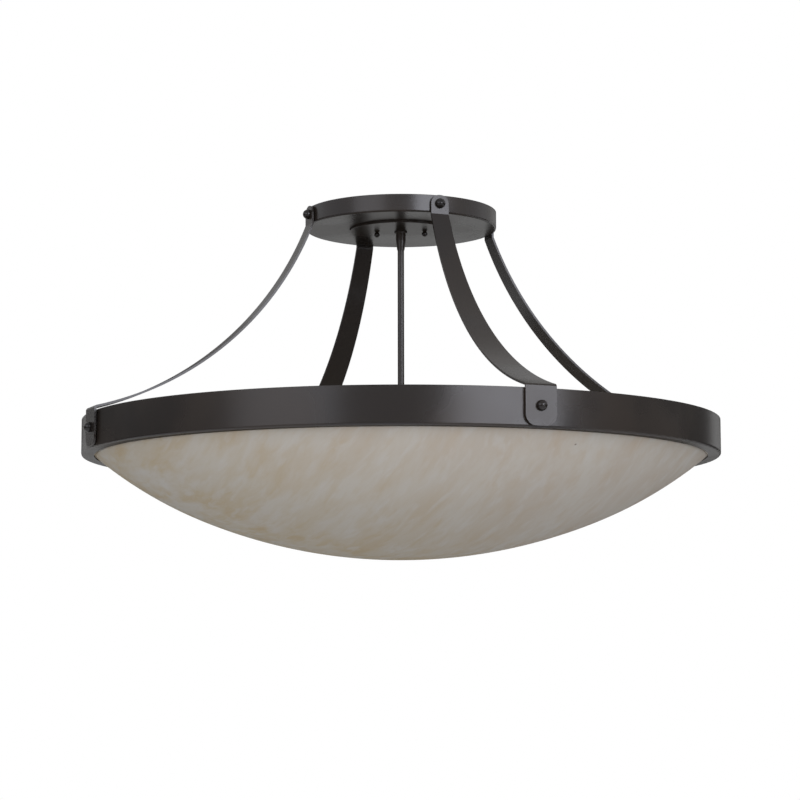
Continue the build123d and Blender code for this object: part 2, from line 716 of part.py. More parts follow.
def make_all():
    """Every piece by its node's name: a solid, or a list of like solids."""
    pieces = {
        "ring": make_ring(),
        "bowl": make_bowl(),
        "canopy_pan": make_canopy_pan(),
        "centre_disc": make_centre_disc(),
        "box_bar": make_box_bar(),
        "stud_bar": make_stud_bar(),
        "mounting_studs": make_mounting_studs(),
        "stud_nuts": make_stud_nuts(),
        "cap_nuts": make_cap_nuts(),
        "nipple": make_nipple(),
        "nipple_nuts": make_nipple_nuts(),
        "check_ring": make_check_ring(),
        "coupling": make_coupling(),
        "stem": make_stem(),
        "cluster_cap": make_cluster_cap(),
        "cluster_nut": make_cluster_nut(),
        "cluster_body": make_cluster_body(),
        "cluster_finial": make_cluster_finial(),
        "arm_nipples": make_arm_nipples(),
    }
    for number, strap in enumerate(around(make_strap(), STRAP_COUNT), start=1):
        pieces[f"strap_{number}"] = strap
    strap_ends = {
        "upper": fastener_set(canopy_r, canopy_inner_r, upper_knob_z),
        "lower": fastener_set(ring_outer_r, ring_inner_r, lower_knob_z),
    }
    for end, fasteners in strap_ends.items():
        for kind, piece in fasteners.items():
            pieces[f"{end}_{kind}"] = around(piece, STRAP_COUNT)
    lamp_pieces = {
        "lampholder": make_lampholder(),
        "screw_shell": make_screw_shell(),
        "centre_contact": make_centre_contact(),
        "bulb_base": make_bulb_base(),
        "bulb_tip": make_bulb_tip(),
        "bulb_globe": make_bulb_globe(),
    }
    for kind, piece in lamp_pieces.items():
        for number, copy in enumerate(around(piece, LAMP_COUNT), start=1):
            pieces[f"{kind}_{number}"] = copy
    return pieces


def solids_of(shape):
    """Every solid in a piece or a list of pieces."""
    if isinstance(shape, (list, tuple)):
        return [solid for item in shape for solid in solids_of(item)]
    return list(shape.solids())


os.makedirs("parts", exist_ok=True)
for piece_name, shape in make_all().items():
    solids = solids_of(shape)
    piece = solids[0] if len(solids) == 1 else Compound(children=solids)
    export_step(piece, f"parts/{piece_name}.step")
    print(f"{piece_name}: {len(solids)} solid(s)")
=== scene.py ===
"""Semi flush ceiling light: its finishes, its bowl and threads, and the studio it hangs in.

Lengths are in metres, in the frame's own axes: +Z is up, the ceiling is the plane Z = 0, and the
stem runs down the Z axis. Azimuth 0 is on -Y and 90 on +X, as seen from the stem.
"""

from __future__ import annotations

import json
import logging
import math
from dataclasses import dataclass, field
from enum import Enum
from typing import Any, Iterable, Union

import bmesh
import bpy
from mathutils import Matrix, Vector

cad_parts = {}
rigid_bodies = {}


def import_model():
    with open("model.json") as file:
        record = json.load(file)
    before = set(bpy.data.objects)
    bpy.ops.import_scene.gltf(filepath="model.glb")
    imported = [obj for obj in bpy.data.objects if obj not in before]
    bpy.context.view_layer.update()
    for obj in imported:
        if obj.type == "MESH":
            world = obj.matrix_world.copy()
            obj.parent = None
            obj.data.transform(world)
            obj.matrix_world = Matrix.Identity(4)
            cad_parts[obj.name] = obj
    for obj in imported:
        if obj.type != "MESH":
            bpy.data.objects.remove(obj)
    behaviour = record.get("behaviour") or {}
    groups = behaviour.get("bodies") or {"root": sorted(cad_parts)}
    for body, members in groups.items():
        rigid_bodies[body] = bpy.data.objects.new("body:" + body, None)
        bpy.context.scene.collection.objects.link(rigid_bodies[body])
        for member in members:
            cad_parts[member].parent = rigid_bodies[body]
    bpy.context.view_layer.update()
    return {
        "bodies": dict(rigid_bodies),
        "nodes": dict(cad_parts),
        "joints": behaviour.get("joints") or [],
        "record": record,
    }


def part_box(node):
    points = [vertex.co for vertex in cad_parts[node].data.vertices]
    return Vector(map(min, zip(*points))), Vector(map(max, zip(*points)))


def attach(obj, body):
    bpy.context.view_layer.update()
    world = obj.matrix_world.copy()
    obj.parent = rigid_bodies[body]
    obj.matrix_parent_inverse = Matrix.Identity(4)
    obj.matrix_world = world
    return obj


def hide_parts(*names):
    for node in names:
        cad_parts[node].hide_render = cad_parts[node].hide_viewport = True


log = logging.getLogger("ceiling_light")

MM = 0.001
SHARP_EDGE = math.radians(38)
QUARTERS = (1, 2, 3, 4)

Colour = tuple[float, float, float, float]
Point = tuple[float, float]
Range = tuple[float, float]
Feed = Union[float, int, tuple, bpy.types.NodeSocket]

WHITE: Colour = (1.0, 1.0, 1.0, 1.0)
BLACK: Colour = (0.0, 0.0, 0.0, 1.0)


def spaced(values: dict[str, Any]) -> dict[str, Any]:
    """Values by socket name, from names that have _ for each space."""
    return {name.replace("_", " "): value for name, value in values.items()}


def in_scene(name: str, data: Any) -> bpy.types.Object:
    """Makes an object of a mesh, a lamp or a camera.

    Args:
        name: The object's name.
        data: What it shows.

    Returns:
        The new object, linked into the scene.
    """
    made = bpy.data.objects.new(name, data)
    bpy.context.scene.collection.objects.link(made)
    return made


# ------------------------------------------------------------------------------ node trees


class Graph:
    """Adds nodes to one node tree and links them, so that a tree reads as a list of steps."""

    def __init__(self, tree: bpy.types.NodeTree) -> None:
        """Starts with the shader or geometry tree to add to."""
        self.tree = tree

    def add(
        self, kind: str, feeds: dict[Union[str, int], Feed] | None = None, **settings: Any
    ) -> bpy.types.Node:
        """Adds one node.

        Args:
            kind: The node's type name.
            feeds: A value or another node's output for each named or numbered input.
            **settings: Values of the node's own properties.

        Returns:
            The new node.
        """
        node = self.tree.nodes.new(kind)
        for name, value in settings.items():
            setattr(node, name, value)
        for key, value in (feeds or {}).items():
            self.feed(node.inputs[key], value)
        return node

    def feed(self, socket: bpy.types.NodeSocket, value: Feed) -> None:
        """Feeds an input.

        Args:
            socket: The input.
            value: The output to link to it, or its own value.
        """
        if isinstance(value, bpy.types.NodeSocket):
            self.tree.links.new(value, socket)
        else:
            socket.default_value = value

    def math(self, operation: str, *values: Feed) -> bpy.types.NodeSocket:
        """Adds a Math node and returns its output."""
        return self.add("ShaderNodeMath", dict(enumerate(values)), operation=operation).outputs[0]

    def vector(self, operation: str, *values: Feed, result: str = "Vector") -> bpy.types.NodeSocket:
        """Adds a Vector Math node and returns its output of the given name."""
        node = self.add("ShaderNodeVectorMath", dict(enumerate(values)), operation=operation)
        return node.outputs[result]

    def mix(self, share: Feed, first: Feed, second: Feed) -> bpy.types.NodeSocket:
        """Mixes two colours, showing the second one as much as the share says."""
        return self.add("ShaderNodeMix", {0: share, 6: first, 7: second}, data_type="RGBA").outputs[2]

    def ramp(
        self, value: Feed, low: Feed, high: Feed, start: float = 0.0, end: float = 1.0
    ) -> bpy.types.NodeSocket:
        """Maps a value between two levels smoothly onto a range.

        Args:
            value: What is mapped.
            low: The level that gives start.
            high: The level that gives end.
            start: The lowest result.
            end: The highest result.

        Returns:
            The mapped value.
        """
        feeds = {"Value": value, "From Min": low, "From Max": high, "To Min": start, "To Max": end}
        return self.add("ShaderNodeMapRange", feeds, interpolation_type="SMOOTHSTEP").outputs[0]

    def noise(
        self, vector: Feed, scale: Feed, detail: float = 2.0, distortion: Feed = 0.0
    ) -> bpy.types.NodeSocket:
        """Adds a noise texture.

        Args:
            vector: The place that the noise is read at.
            scale: Features per metre.
            detail: Octaves of finer noise.
            distortion: How far the noise is warped.

        Returns:
            The noise, from 0 to 1.
        """
        feeds = {"Vector": vector, "Scale": scale, "Detail": detail, "Distortion": distortion}
        return self.add("ShaderNodeTexNoise", feeds).outputs[0]

    def end_piece(self, leaving: Any, geometry: Feed, material: Feed) -> None:
        """Ends a geometry tree in plain geometry that has its material.

        Args:
            leaving: The sockets that the tree's outputs leave by.
            geometry: What the tree made.
            material: The material to set.
        """
        real = self.add("GeometryNodeRealizeInstances", {"Geometry": geometry}).outputs[0]
        dressed = self.add("GeometryNodeSetMaterial", {"Geometry": real, "Material": material})
        self.feed(leaving["Geometry"], dressed.outputs[0])


@dataclass(frozen=True)
class Socket:
    """One named input or output of a node group."""

    name: str
    kind: str
    default: Any = None


VECTOR = Socket("Vector", "NodeSocketVector")
GEOMETRY = Socket("Geometry", "NodeSocketGeometry")
MATERIAL = Socket("Material", "NodeSocketMaterial")


def floats(**defaults: float) -> tuple[Socket, ...]:
    """Float sockets with their defaults, named with _ for each space."""
    return tuple(Socket(name, "NodeSocketFloat", value) for name, value in spaced(defaults).items())


def new_group(
    name: str, kind: str, inputs: Iterable[Socket], outputs: Iterable[Socket]
) -> tuple[Graph, Any, Any]:
    """Makes an empty node group with named sockets.

    Args:
        name: The group's name.
        kind: ShaderNodeTree or GeometryNodeTree.
        inputs: The group's inputs.
        outputs: The group's outputs.

    Returns:
        The group's graph, the sockets that its inputs arrive on and those that its outputs leave by.
    """
    tree = bpy.data.node_groups.new(name, kind)
    for sockets, direction in ((inputs, "INPUT"), (outputs, "OUTPUT")):
        for socket in sockets:
            made = tree.interface.new_socket(socket.name, in_out=direction, socket_type=socket.kind)
            if socket.default is not None:
                made.default_value = socket.default
    graph = Graph(tree)
    return graph, graph.add("NodeGroupInput").outputs, graph.add("NodeGroupOutput").inputs


# ------------------------------------------------------------------------------ shared effects


class Effects:
    """Shader groups that more than one finish uses, each built once."""

    def __init__(self) -> None:
        """Builds the groups."""
        self.skin = self._skin()
        self.mottle = self._mottle()
        self.streaks = self._streaks()

    @staticmethod
    def _skin() -> bpy.types.NodeTree:
        """Builds a fine skin: a height, with a slower swell under it.

        Returns:
            The group.
        """
        inputs = (VECTOR, *floats(Grain_Scale=900.0, Swell_Scale=60.0, Swell_Share=0.3))
        graph, given, leaving = new_group("skin", "ShaderNodeTree", inputs, floats(Height=0.0))
        grain = graph.noise(given["Vector"], given["Grain Scale"])
        swell = graph.noise(given["Vector"], given["Swell Scale"], detail=1.0)
        graph.feed(leaving["Height"], graph.math("MULTIPLY_ADD", swell, given["Swell Share"], grain))
        return graph.tree

    @staticmethod
    def _mottle() -> bpy.types.NodeTree:
        """Builds soft patches between two colours, with the mask that made them.

        Returns:
            The group.
        """
        colours = (Socket("First", "NodeSocketColor"), Socket("Second", "NodeSocketColor"))
        inputs = (VECTOR, *floats(Scale=10.0, Low=0.35, High=0.65), *colours)
        outputs = (Socket("Color", "NodeSocketColor"), *floats(Mask=0.0))
        graph, given, leaving = new_group("mottle", "ShaderNodeTree", inputs, outputs)
        noise = graph.noise(given["Vector"], given["Scale"], detail=3.0)
        mask = graph.ramp(noise, given["Low"], given["High"])
        graph.feed(leaving["Mask"], mask)
        graph.feed(leaving["Color"], graph.mix(mask, given["First"], given["Second"]))
        return graph.tree

    @staticmethod
    def _streaks() -> bpy.types.NodeTree:
        """Builds streaks drawn out along the vector's second axis, as veins or drawing marks.

        Returns:
            The group.
        """
        inputs = (VECTOR, *floats(Scale=40.0, Stretch=8.0, Warp=0.5, Low=0.45, High=0.75))
        graph, given, leaving = new_group("streaks", "ShaderNodeTree", inputs, floats(Mask=0.0))
        along = graph.math("DIVIDE", 1.0, given["Stretch"])
        shape = graph.add("ShaderNodeCombineXYZ", {"X": 1.0, "Y": along, "Z": 1.0}).outputs[0]
        drawn = graph.vector("MULTIPLY", given["Vector"], shape)
        noise = graph.noise(drawn, given["Scale"], detail=5.0, distortion=given["Warp"])
        graph.feed(leaving["Mask"], graph.ramp(noise, given["Low"], given["High"]))
        return graph.tree


@dataclass(frozen=True)
class Skin:
    """Fine skin of a surface: grains and swells per metre, the swells' share, and the depth."""

    grain: float
    swell: float
    swell_share: float
    depth: float


@dataclass(frozen=True)
class Streaks:
    """One layer of streaks: how many, how long, how much of the surface, how bent and how strong."""

    scale: float
    stretch: float
    low: float
    high: float
    warp: float = 0.5
    strength: float = 1.0


class Finish:
    """A material under construction: its graph, its shader and the place it is read at."""

    HELD_COSINE = 0.5
    HELD_POWER = 3.0

    def __init__(self, name: str, effects: Effects | None = None) -> None:
        """Makes an empty material.

        Args:
            name: The material's name.
            effects: The shared shader groups, where the material uses them.
        """
        self.material = bpy.data.materials.new(name)
        self.material.use_nodes = True
        self.effects = effects
        self.graph = Graph(self.material.node_tree)
        self.shader = self.material.node_tree.nodes["Principled BSDF"]
        self.place = self.graph.add("ShaderNodeTexCoord").outputs["Object"]

    def set(self, **values: Feed) -> None:
        """Feeds the shader's inputs, whose names are given with _ for each space."""
        for name, value in spaced(values).items():
            self.graph.feed(self.shader.inputs[name], value)

    def group(self, tree: bpy.types.NodeTree, **feeds: Feed) -> Any:
        """Places a shared effect, its inputs named with _ for each space, and returns its outputs."""
        return self.graph.add("ShaderNodeGroup", spaced(feeds), node_tree=tree).outputs

    def bump(self, height: Feed, depth: float) -> None:
        """Raises the surface by a height from 0 to 1 times a depth in metres."""
        feeds = {"Strength": 1.0, "Distance": depth, "Height": height}
        self.set(Normal=self.graph.add("ShaderNodeBump", feeds).outputs["Normal"])

    def skin(self, skin: Skin) -> None:
        """Raises a fine skin.

        Args:
            skin: Its sizes.
        """
        sizes = {"Grain_Scale": skin.grain, "Swell_Scale": skin.swell, "Swell_Share": skin.swell_share}
        made = self.group(self.effects.skin, Vector=self.place, **sizes)
        self.bump(made["Height"], skin.depth)

    def cloud(self, scale: float, first: Colour, second: Colour) -> Any:
        """Soft patches between two colours; the outputs are Color and Mask."""
        return self.group(self.effects.mottle, Vector=self.place, Scale=scale, First=first, Second=second)

    def streaks(self, layer: Streaks, place: Feed) -> bpy.types.NodeSocket:
        """Places one layer of streaks.

        Args:
            layer: The layer.
            place: Where it is read, its streaks running along the second axis.

        Returns:
            The layer's mask, at its strength.
        """
        sizes = {"Scale": layer.scale, "Stretch": layer.stretch, "Warp": layer.warp}
        made = self.group(self.effects.streaks, Vector=place, Low=layer.low, High=layer.high, **sizes)
        return self.graph.math("MULTIPLY", made["Mask"], layer.strength)

    def along(self, place: Feed, direction: tuple[float, float, float]) -> bpy.types.NodeSocket:
        """A place turned so that its second axis points in the given direction."""
        turn = Vector(direction).rotation_difference(Vector((0.0, 1.0, 0.0))).to_euler()
        return self.graph.add("ShaderNodeMapping", {"Vector": place, "Rotation": tuple(turn)}).outputs[0]

    def held_sheen(self, level: float = 0.5) -> bpy.types.NodeSocket:
        """Specular level that stops the sheen from growing past 60 degrees off the normal.

        Args:
            level: The level on a surface seen straight on.

        Returns:
            The level for the surface as it is seen.
        """
        facing = self.graph.add("ShaderNodeLayerWeight", {"Blend": 0.5}).outputs["Facing"]
        cosine = self.graph.math("SUBTRACT", 1.0, facing)
        share = self.graph.math("DIVIDE", cosine, self.HELD_COSINE)
        fall = self.graph.math("POWER", share, self.HELD_POWER)
        return self.graph.math("MULTIPLY", self.graph.math("MINIMUM", fall, 1.0), level)


# ------------------------------------------------------------------------------ finishes


@dataclass(frozen=True)
class BronzePaint:
    """Sprayed dark bronze, semi-gloss, with a fine skin and a faint brown cloud."""

    name: str = "dark_bronze_paint"
    dark: Colour = (0.0145, 0.0118, 0.0104, 1.0)
    brown: Colour = (0.0205, 0.0152, 0.0118, 1.0)
    tint: Colour = (0.89, 0.91, 1.0, 1.0)
    ior: float = 1.5
    smooth: float = 0.24
    rough: float = 0.30
    cloud_scale: float = 7.0
    skin: Skin = Skin(1100.0, 45.0, 0.8, 0.035 * MM)

    def make(self, effects: Effects) -> bpy.types.Material:
        """Builds the material.

        Args:
            effects: The shared shader groups.

        Returns:
            The material.
        """
        finish = Finish(self.name, effects)
        cloud = finish.cloud(self.cloud_scale, self.dark, self.brown)
        roughness = finish.graph.ramp(cloud["Mask"], 0.0, 1.0, self.smooth, self.rough)
        finish.set(Base_Color=cloud["Color"], Roughness=roughness, IOR=self.ior)
        finish.set(Specular_Tint=self.tint, Specular_IOR_Level=finish.held_sheen())
        finish.skin(self.skin)
        return finish.material


@dataclass(frozen=True)
class FauxAlabaster:
    """Satin resin marbled like alabaster: slanting tan and ochre veins, pale clouds, a few specks."""

    name: str = "faux_alabaster_resin"
    cream: Colour = (0.420, 0.376, 0.312, 1.0)
    ash: Colour = (0.412, 0.370, 0.332, 1.0)
    pale: Colour = (0.442, 0.418, 0.388, 1.0)
    ochre: Colour = (0.375, 0.280, 0.150, 1.0)
    rose: Colour = (0.395, 0.312, 0.242, 1.0)
    frost: Colour = (0.450, 0.436, 0.420, 1.0)
    speck: Colour = (0.100, 0.060, 0.040, 1.0)
    clouds: Streaks = Streaks(19.0, 4.2, 0.40, 0.64, 0.2, 0.80)
    broad_veins: Streaks = Streaks(24.0, 3.4, 0.47, 0.72, 0.3, 0.62)
    narrow_veins: Streaks = Streaks(46.0, 5.0, 0.46, 0.72, 0.4, 0.46)
    frost_veins: Streaks = Streaks(64.0, 5.0, 0.48, 0.70, 0.4, 0.60)
    wisps: Streaks = Streaks(130.0, 7.0, 0.42, 0.78, 0.6, 0.28)
    frost_shift: tuple[float, float, float] = (3.1, 1.7, 0.0)
    vein_direction: tuple[float, float, float] = (0.003, -0.957, 0.290)
    drift_scale: float = 3.5
    drift_reach: float = 0.035
    warm_side: tuple[float, float, float] = (-0.60, 0.25, -1.60)
    warm_band: tuple[float, float, float, float] = (0.52, 0.90, 0.10, 1.0)
    speck_scale: float = 26.0
    speck_rarity: float = 0.86
    speck_edge: Range = (0.035, 0.075)
    roughness: float = 0.45
    ior: float = 1.48
    skin: Skin = Skin(260.0, 16.0, 1.5, 0.05 * MM)

    def make(self, effects: Effects) -> bpy.types.Material:
        """Builds the material.

        Args:
            effects: The shared shader groups.

        Returns:
            The material.
        """
        finish = Finish(self.name, effects)
        graph = finish.graph
        along = finish.along(self._drifted(finish), self.vein_direction)
        beside = graph.vector("ADD", along, self.frost_shift)
        side = graph.vector("DOT_PRODUCT", finish.place, self.warm_side, result="Value")
        warmth = graph.ramp(side, *self.warm_band)
        tan = graph.mix(warmth, self.rose, self.ochre)
        base = graph.mix(warmth, self.ash, self.cream)
        layers = (
            (finish.streaks(self.clouds, along), self.pale),
            (graph.math("MULTIPLY", finish.streaks(self.broad_veins, along), warmth), tan),
            (finish.streaks(self.narrow_veins, along), tan),
            (finish.streaks(self.frost_veins, beside), self.frost),
            (finish.streaks(self.wisps, along), tan),
            (self._specks(finish), self.speck),
        )
        for mask, colour in layers:
            base = graph.mix(mask, base, colour)
        finish.set(Base_Color=base, Roughness=self.roughness, IOR=self.ior)
        finish.set(Specular_IOR_Level=finish.held_sheen())
        finish.skin(self.skin)
        return finish.material

    def _drifted(self, finish: Finish) -> bpy.types.NodeSocket:
        """Pushes the place about slowly, so that the veins bend.

        Args:
            finish: The material under construction.

        Returns:
            The pushed place.
        """
        feeds = {"Vector": finish.place, "Scale": self.drift_scale, "Detail": 1.0}
        drift = finish.graph.add("ShaderNodeTexNoise", feeds).outputs["Color"]
        return finish.graph.vector("MULTIPLY_ADD", drift, (self.drift_reach,) * 3, finish.place)

    def _specks(self, finish: Finish) -> bpy.types.NodeSocket:
        """Picks a few small specks, each in one of a few cells.

        Args:
            finish: The material under construction.

        Returns:
            The mask of the specks.
        """
        graph = finish.graph
        cells = graph.add("ShaderNodeTexVoronoi", {"Vector": finish.place, "Scale": self.speck_scale}).outputs
        chance = graph.add("ShaderNodeSeparateColor", {0: cells["Color"]}).outputs[0]
        rare = graph.math("GREATER_THAN", chance, self.speck_rarity)
        near = graph.ramp(cells["Distance"], *self.speck_edge, 1.0, 0.0)
        return graph.math("MULTIPLY", rare, near)


@dataclass(frozen=True)
class PlainMetal:
    """Bare or plated metal with faint drawing marks and clouded roughness."""

    name: str
    light: Colour
    dull: Colour
    smooth: float = 0.22
    rough: float = 0.42
    cloud_scale: float = 90.0
    marks: Streaks = Streaks(900.0, 14.0, 0.3, 0.7)
    mark_depth: float = 0.012 * MM

    def make(self, effects: Effects) -> bpy.types.Material:
        """Builds the material.

        Args:
            effects: The shared shader groups.

        Returns:
            The material.
        """
        finish = Finish(self.name, effects)
        cloud = finish.cloud(self.cloud_scale, self.light, self.dull)
        roughness = finish.graph.ramp(cloud["Mask"], 0.0, 1.0, self.smooth, self.rough)
        finish.set(Base_Color=cloud["Color"], Roughness=roughness, Metallic=1.0)
        finish.bump(finish.streaks(self.marks, finish.place), self.mark_depth)
        return finish.material


@dataclass(frozen=True)
class Glaze:
    """Glazed, pressed or coated surface: two close tones, its gloss, and a coat over them."""

    name: str
    thick: Colour
    thin: Colour
    cloud_scale: float
    roughness: float
    coat: float = 0.0
    coat_roughness: float = 0.03
    skin: Skin | None = None

    def make(self, effects: Effects) -> bpy.types.Material:
        """Builds the material.

        Args:
            effects: The shared shader groups.

        Returns:
            The material.
        """
        finish = Finish(self.name, effects)
        cloud = finish.cloud(self.cloud_scale, self.thick, self.thin)
        finish.set(Base_Color=cloud["Color"], Roughness=self.roughness)
        finish.set(Coat_Weight=self.coat, Coat_Roughness=self.coat_roughness)
        if self.skin:
            finish.skin(self.skin)
        return finish.material


class Finishes(Enum):
    """Every finish on the light."""

    PAINT = BronzePaint()
    KNOB_PAINT = BronzePaint(
        "dark_knob_paint",
        dark=(0.0080, 0.0068, 0.0060, 1.0),
        brown=(0.0110, 0.0085, 0.0070, 1.0),
        smooth=0.16,
        rough=0.20,
    )
    ALABASTER = FauxAlabaster()
    ZINC = PlainMetal("zinc_plate", (0.60, 0.60, 0.58, 1.0), (0.47, 0.47, 0.46, 1.0))
    BRASS = PlainMetal("plain_brass", (0.72, 0.55, 0.26, 1.0), (0.52, 0.37, 0.17, 1.0))
    BASE_METAL = PlainMetal("bulb_base_metal", (0.78, 0.78, 0.77, 1.0), (0.66, 0.66, 0.65, 1.0), smooth=0.16)
    PORCELAIN = Glaze(
        "glazed_porcelain",
        (0.80, 0.79, 0.76, 1.0),
        (0.74, 0.72, 0.67, 1.0),
        cloud_scale=35.0,
        roughness=0.16,
        coat=0.4,
        coat_roughness=0.06,
        skin=Skin(500.0, 80.0, 2.0, 0.05 * MM),
    )
    INSULATOR = Glaze("black_insulator", (0.018, 0.018, 0.020, 1.0), (0.035, 0.034, 0.036, 1.0), 300.0, 0.25)
    GLASS = Glaze(
        "frosted_bulb_glass",
        (0.86, 0.86, 0.84, 1.0),
        (0.78, 0.79, 0.78, 1.0),
        cloud_scale=28.0,
        roughness=0.28,
        coat=0.5,
        coat_roughness=0.08,
    )


class Palette:
    """The finishes as materials, each built the first time that it is asked for."""

    def __init__(self) -> None:
        """Builds the shared effects."""
        self.effects = Effects()
        self.made: dict[Finishes, bpy.types.Material] = {}

    def of(self, finish: Finishes) -> bpy.types.Material:
        """Finds a finish's material, or builds it.

        Args:
            finish: The finish.

        Returns:
            Its material.
        """
        if finish not in self.made:
            self.made[finish] = finish.value.make(self.effects)
        return self.made[finish]


# ------------------------------------------------------------------------------ turned pieces


class Lathe:
    """Geometry Nodes that turn an outline round the Z axis and cut a helical thread in it.

    The outline is a mesh of points (radius, 0, height) in order. Its point attribute "cut" says how
    much of the thread's depth each point takes.
    """

    CUT = "cut"
    MERGE_REACH = 0.001 * MM

    def __init__(self) -> None:
        """Builds the tree."""
        sizes = (Socket("Sides", "NodeSocketInt", 64), *floats(Pitch=1.0 * MM, Thread_Depth=0.0))
        inputs = (Socket("Outline", "NodeSocketGeometry"), *sizes, MATERIAL)
        graph, given, leaving = new_group("lathe", "GeometryNodeTree", inputs, (GEOMETRY,))
        self.tree = graph.tree
        outline = given["Outline"]
        points = graph.add("GeometryNodeAttributeDomainSize", {"Geometry": outline}).outputs["Point Count"]
        columns = graph.math("ADD", given["Sides"], 1.0)
        grid = graph.add("GeometryNodeMeshGrid", {"Vertices X": columns, "Vertices Y": points})
        position = graph.add("GeometryNodeInputPosition").outputs[0]
        place = graph.add("ShaderNodeSeparateXYZ", {0: position}).outputs
        turn = graph.math("MULTIPLY", graph.math("ADD", place["X"], 0.5), math.tau)
        last_row = graph.math("SUBTRACT", points, 1.0)
        row = graph.math("MULTIPLY", graph.math("ADD", place["Y"], 0.5), last_row)
        row = graph.math("ROUND", row)
        position = graph.add("GeometryNodeInputPosition").outputs[0]
        cut = graph.add("GeometryNodeInputNamedAttribute", {"Name": self.CUT}, data_type="FLOAT")
        section = self._read(graph, outline, row, position, "FLOAT_VECTOR")
        section = graph.add("ShaderNodeSeparateXYZ", {0: section}).outputs
        share = self._read(graph, outline, row, cut.outputs["Attribute"], "FLOAT")
        wave = graph.math("MULTIPLY", graph.math("DIVIDE", section["Z"], given["Pitch"]), math.tau)
        wave = graph.math("COSINE", graph.math("SUBTRACT", wave, turn))
        depth = graph.math("MULTIPLY", graph.math("SUBTRACT", 1.0, wave), given["Thread Depth"])
        depth = graph.math("MULTIPLY", graph.math("MULTIPLY", depth, 0.5), share)
        radius = graph.math("SUBTRACT", section["X"], depth)
        across = graph.math("MULTIPLY", radius, graph.math("COSINE", turn))
        away = graph.math("MULTIPLY", radius, graph.math("SINE", turn))
        turned = graph.add("ShaderNodeCombineXYZ", {"X": across, "Y": away, "Z": section["Z"]}).outputs[0]
        feeds = {"Geometry": grid.outputs["Mesh"], "Position": turned}
        moved = graph.add("GeometryNodeSetPosition", feeds).outputs[0]
        feeds = {"Geometry": moved, "Distance": self.MERGE_REACH}
        closed = graph.add("GeometryNodeMergeByDistance", feeds).outputs[0]
        smooth = graph.add("GeometryNodeSetShadeSmooth", {"Geometry": closed}).outputs[0]
        graph.end_piece(leaving, smooth, given["Material"])

    @staticmethod
    def _read(graph: Graph, outline: Feed, row: Feed, value: Feed, kind: str) -> bpy.types.NodeSocket:
        """Reads a value at one point of the outline.

        Args:
            graph: The tree's graph.
            outline: The outline.
            row: The point's number.
            value: The value to read.
            kind: The value's type.

        Returns:
            What the point has.
        """
        sample = graph.add("GeometryNodeSampleIndex", {"Geometry": outline, "Index": row}, data_type=kind)
        graph.feed(sample.inputs["Value"], value)
        return sample.outputs["Value"]

    def turn(self, outline: Outline, material: bpy.types.Material, **sizes: Any) -> bpy.types.Mesh:
        """Turns an outline into a mesh.

        Args:
            outline: The section to turn.
            material: The finish of the mesh.
            **sizes: Values of the tree's inputs, named with _ for each space.

        Returns:
            The turned mesh, its axis on Z.
        """
        return settled_mesh(self.tree, outline.mesh(), material, sizes)


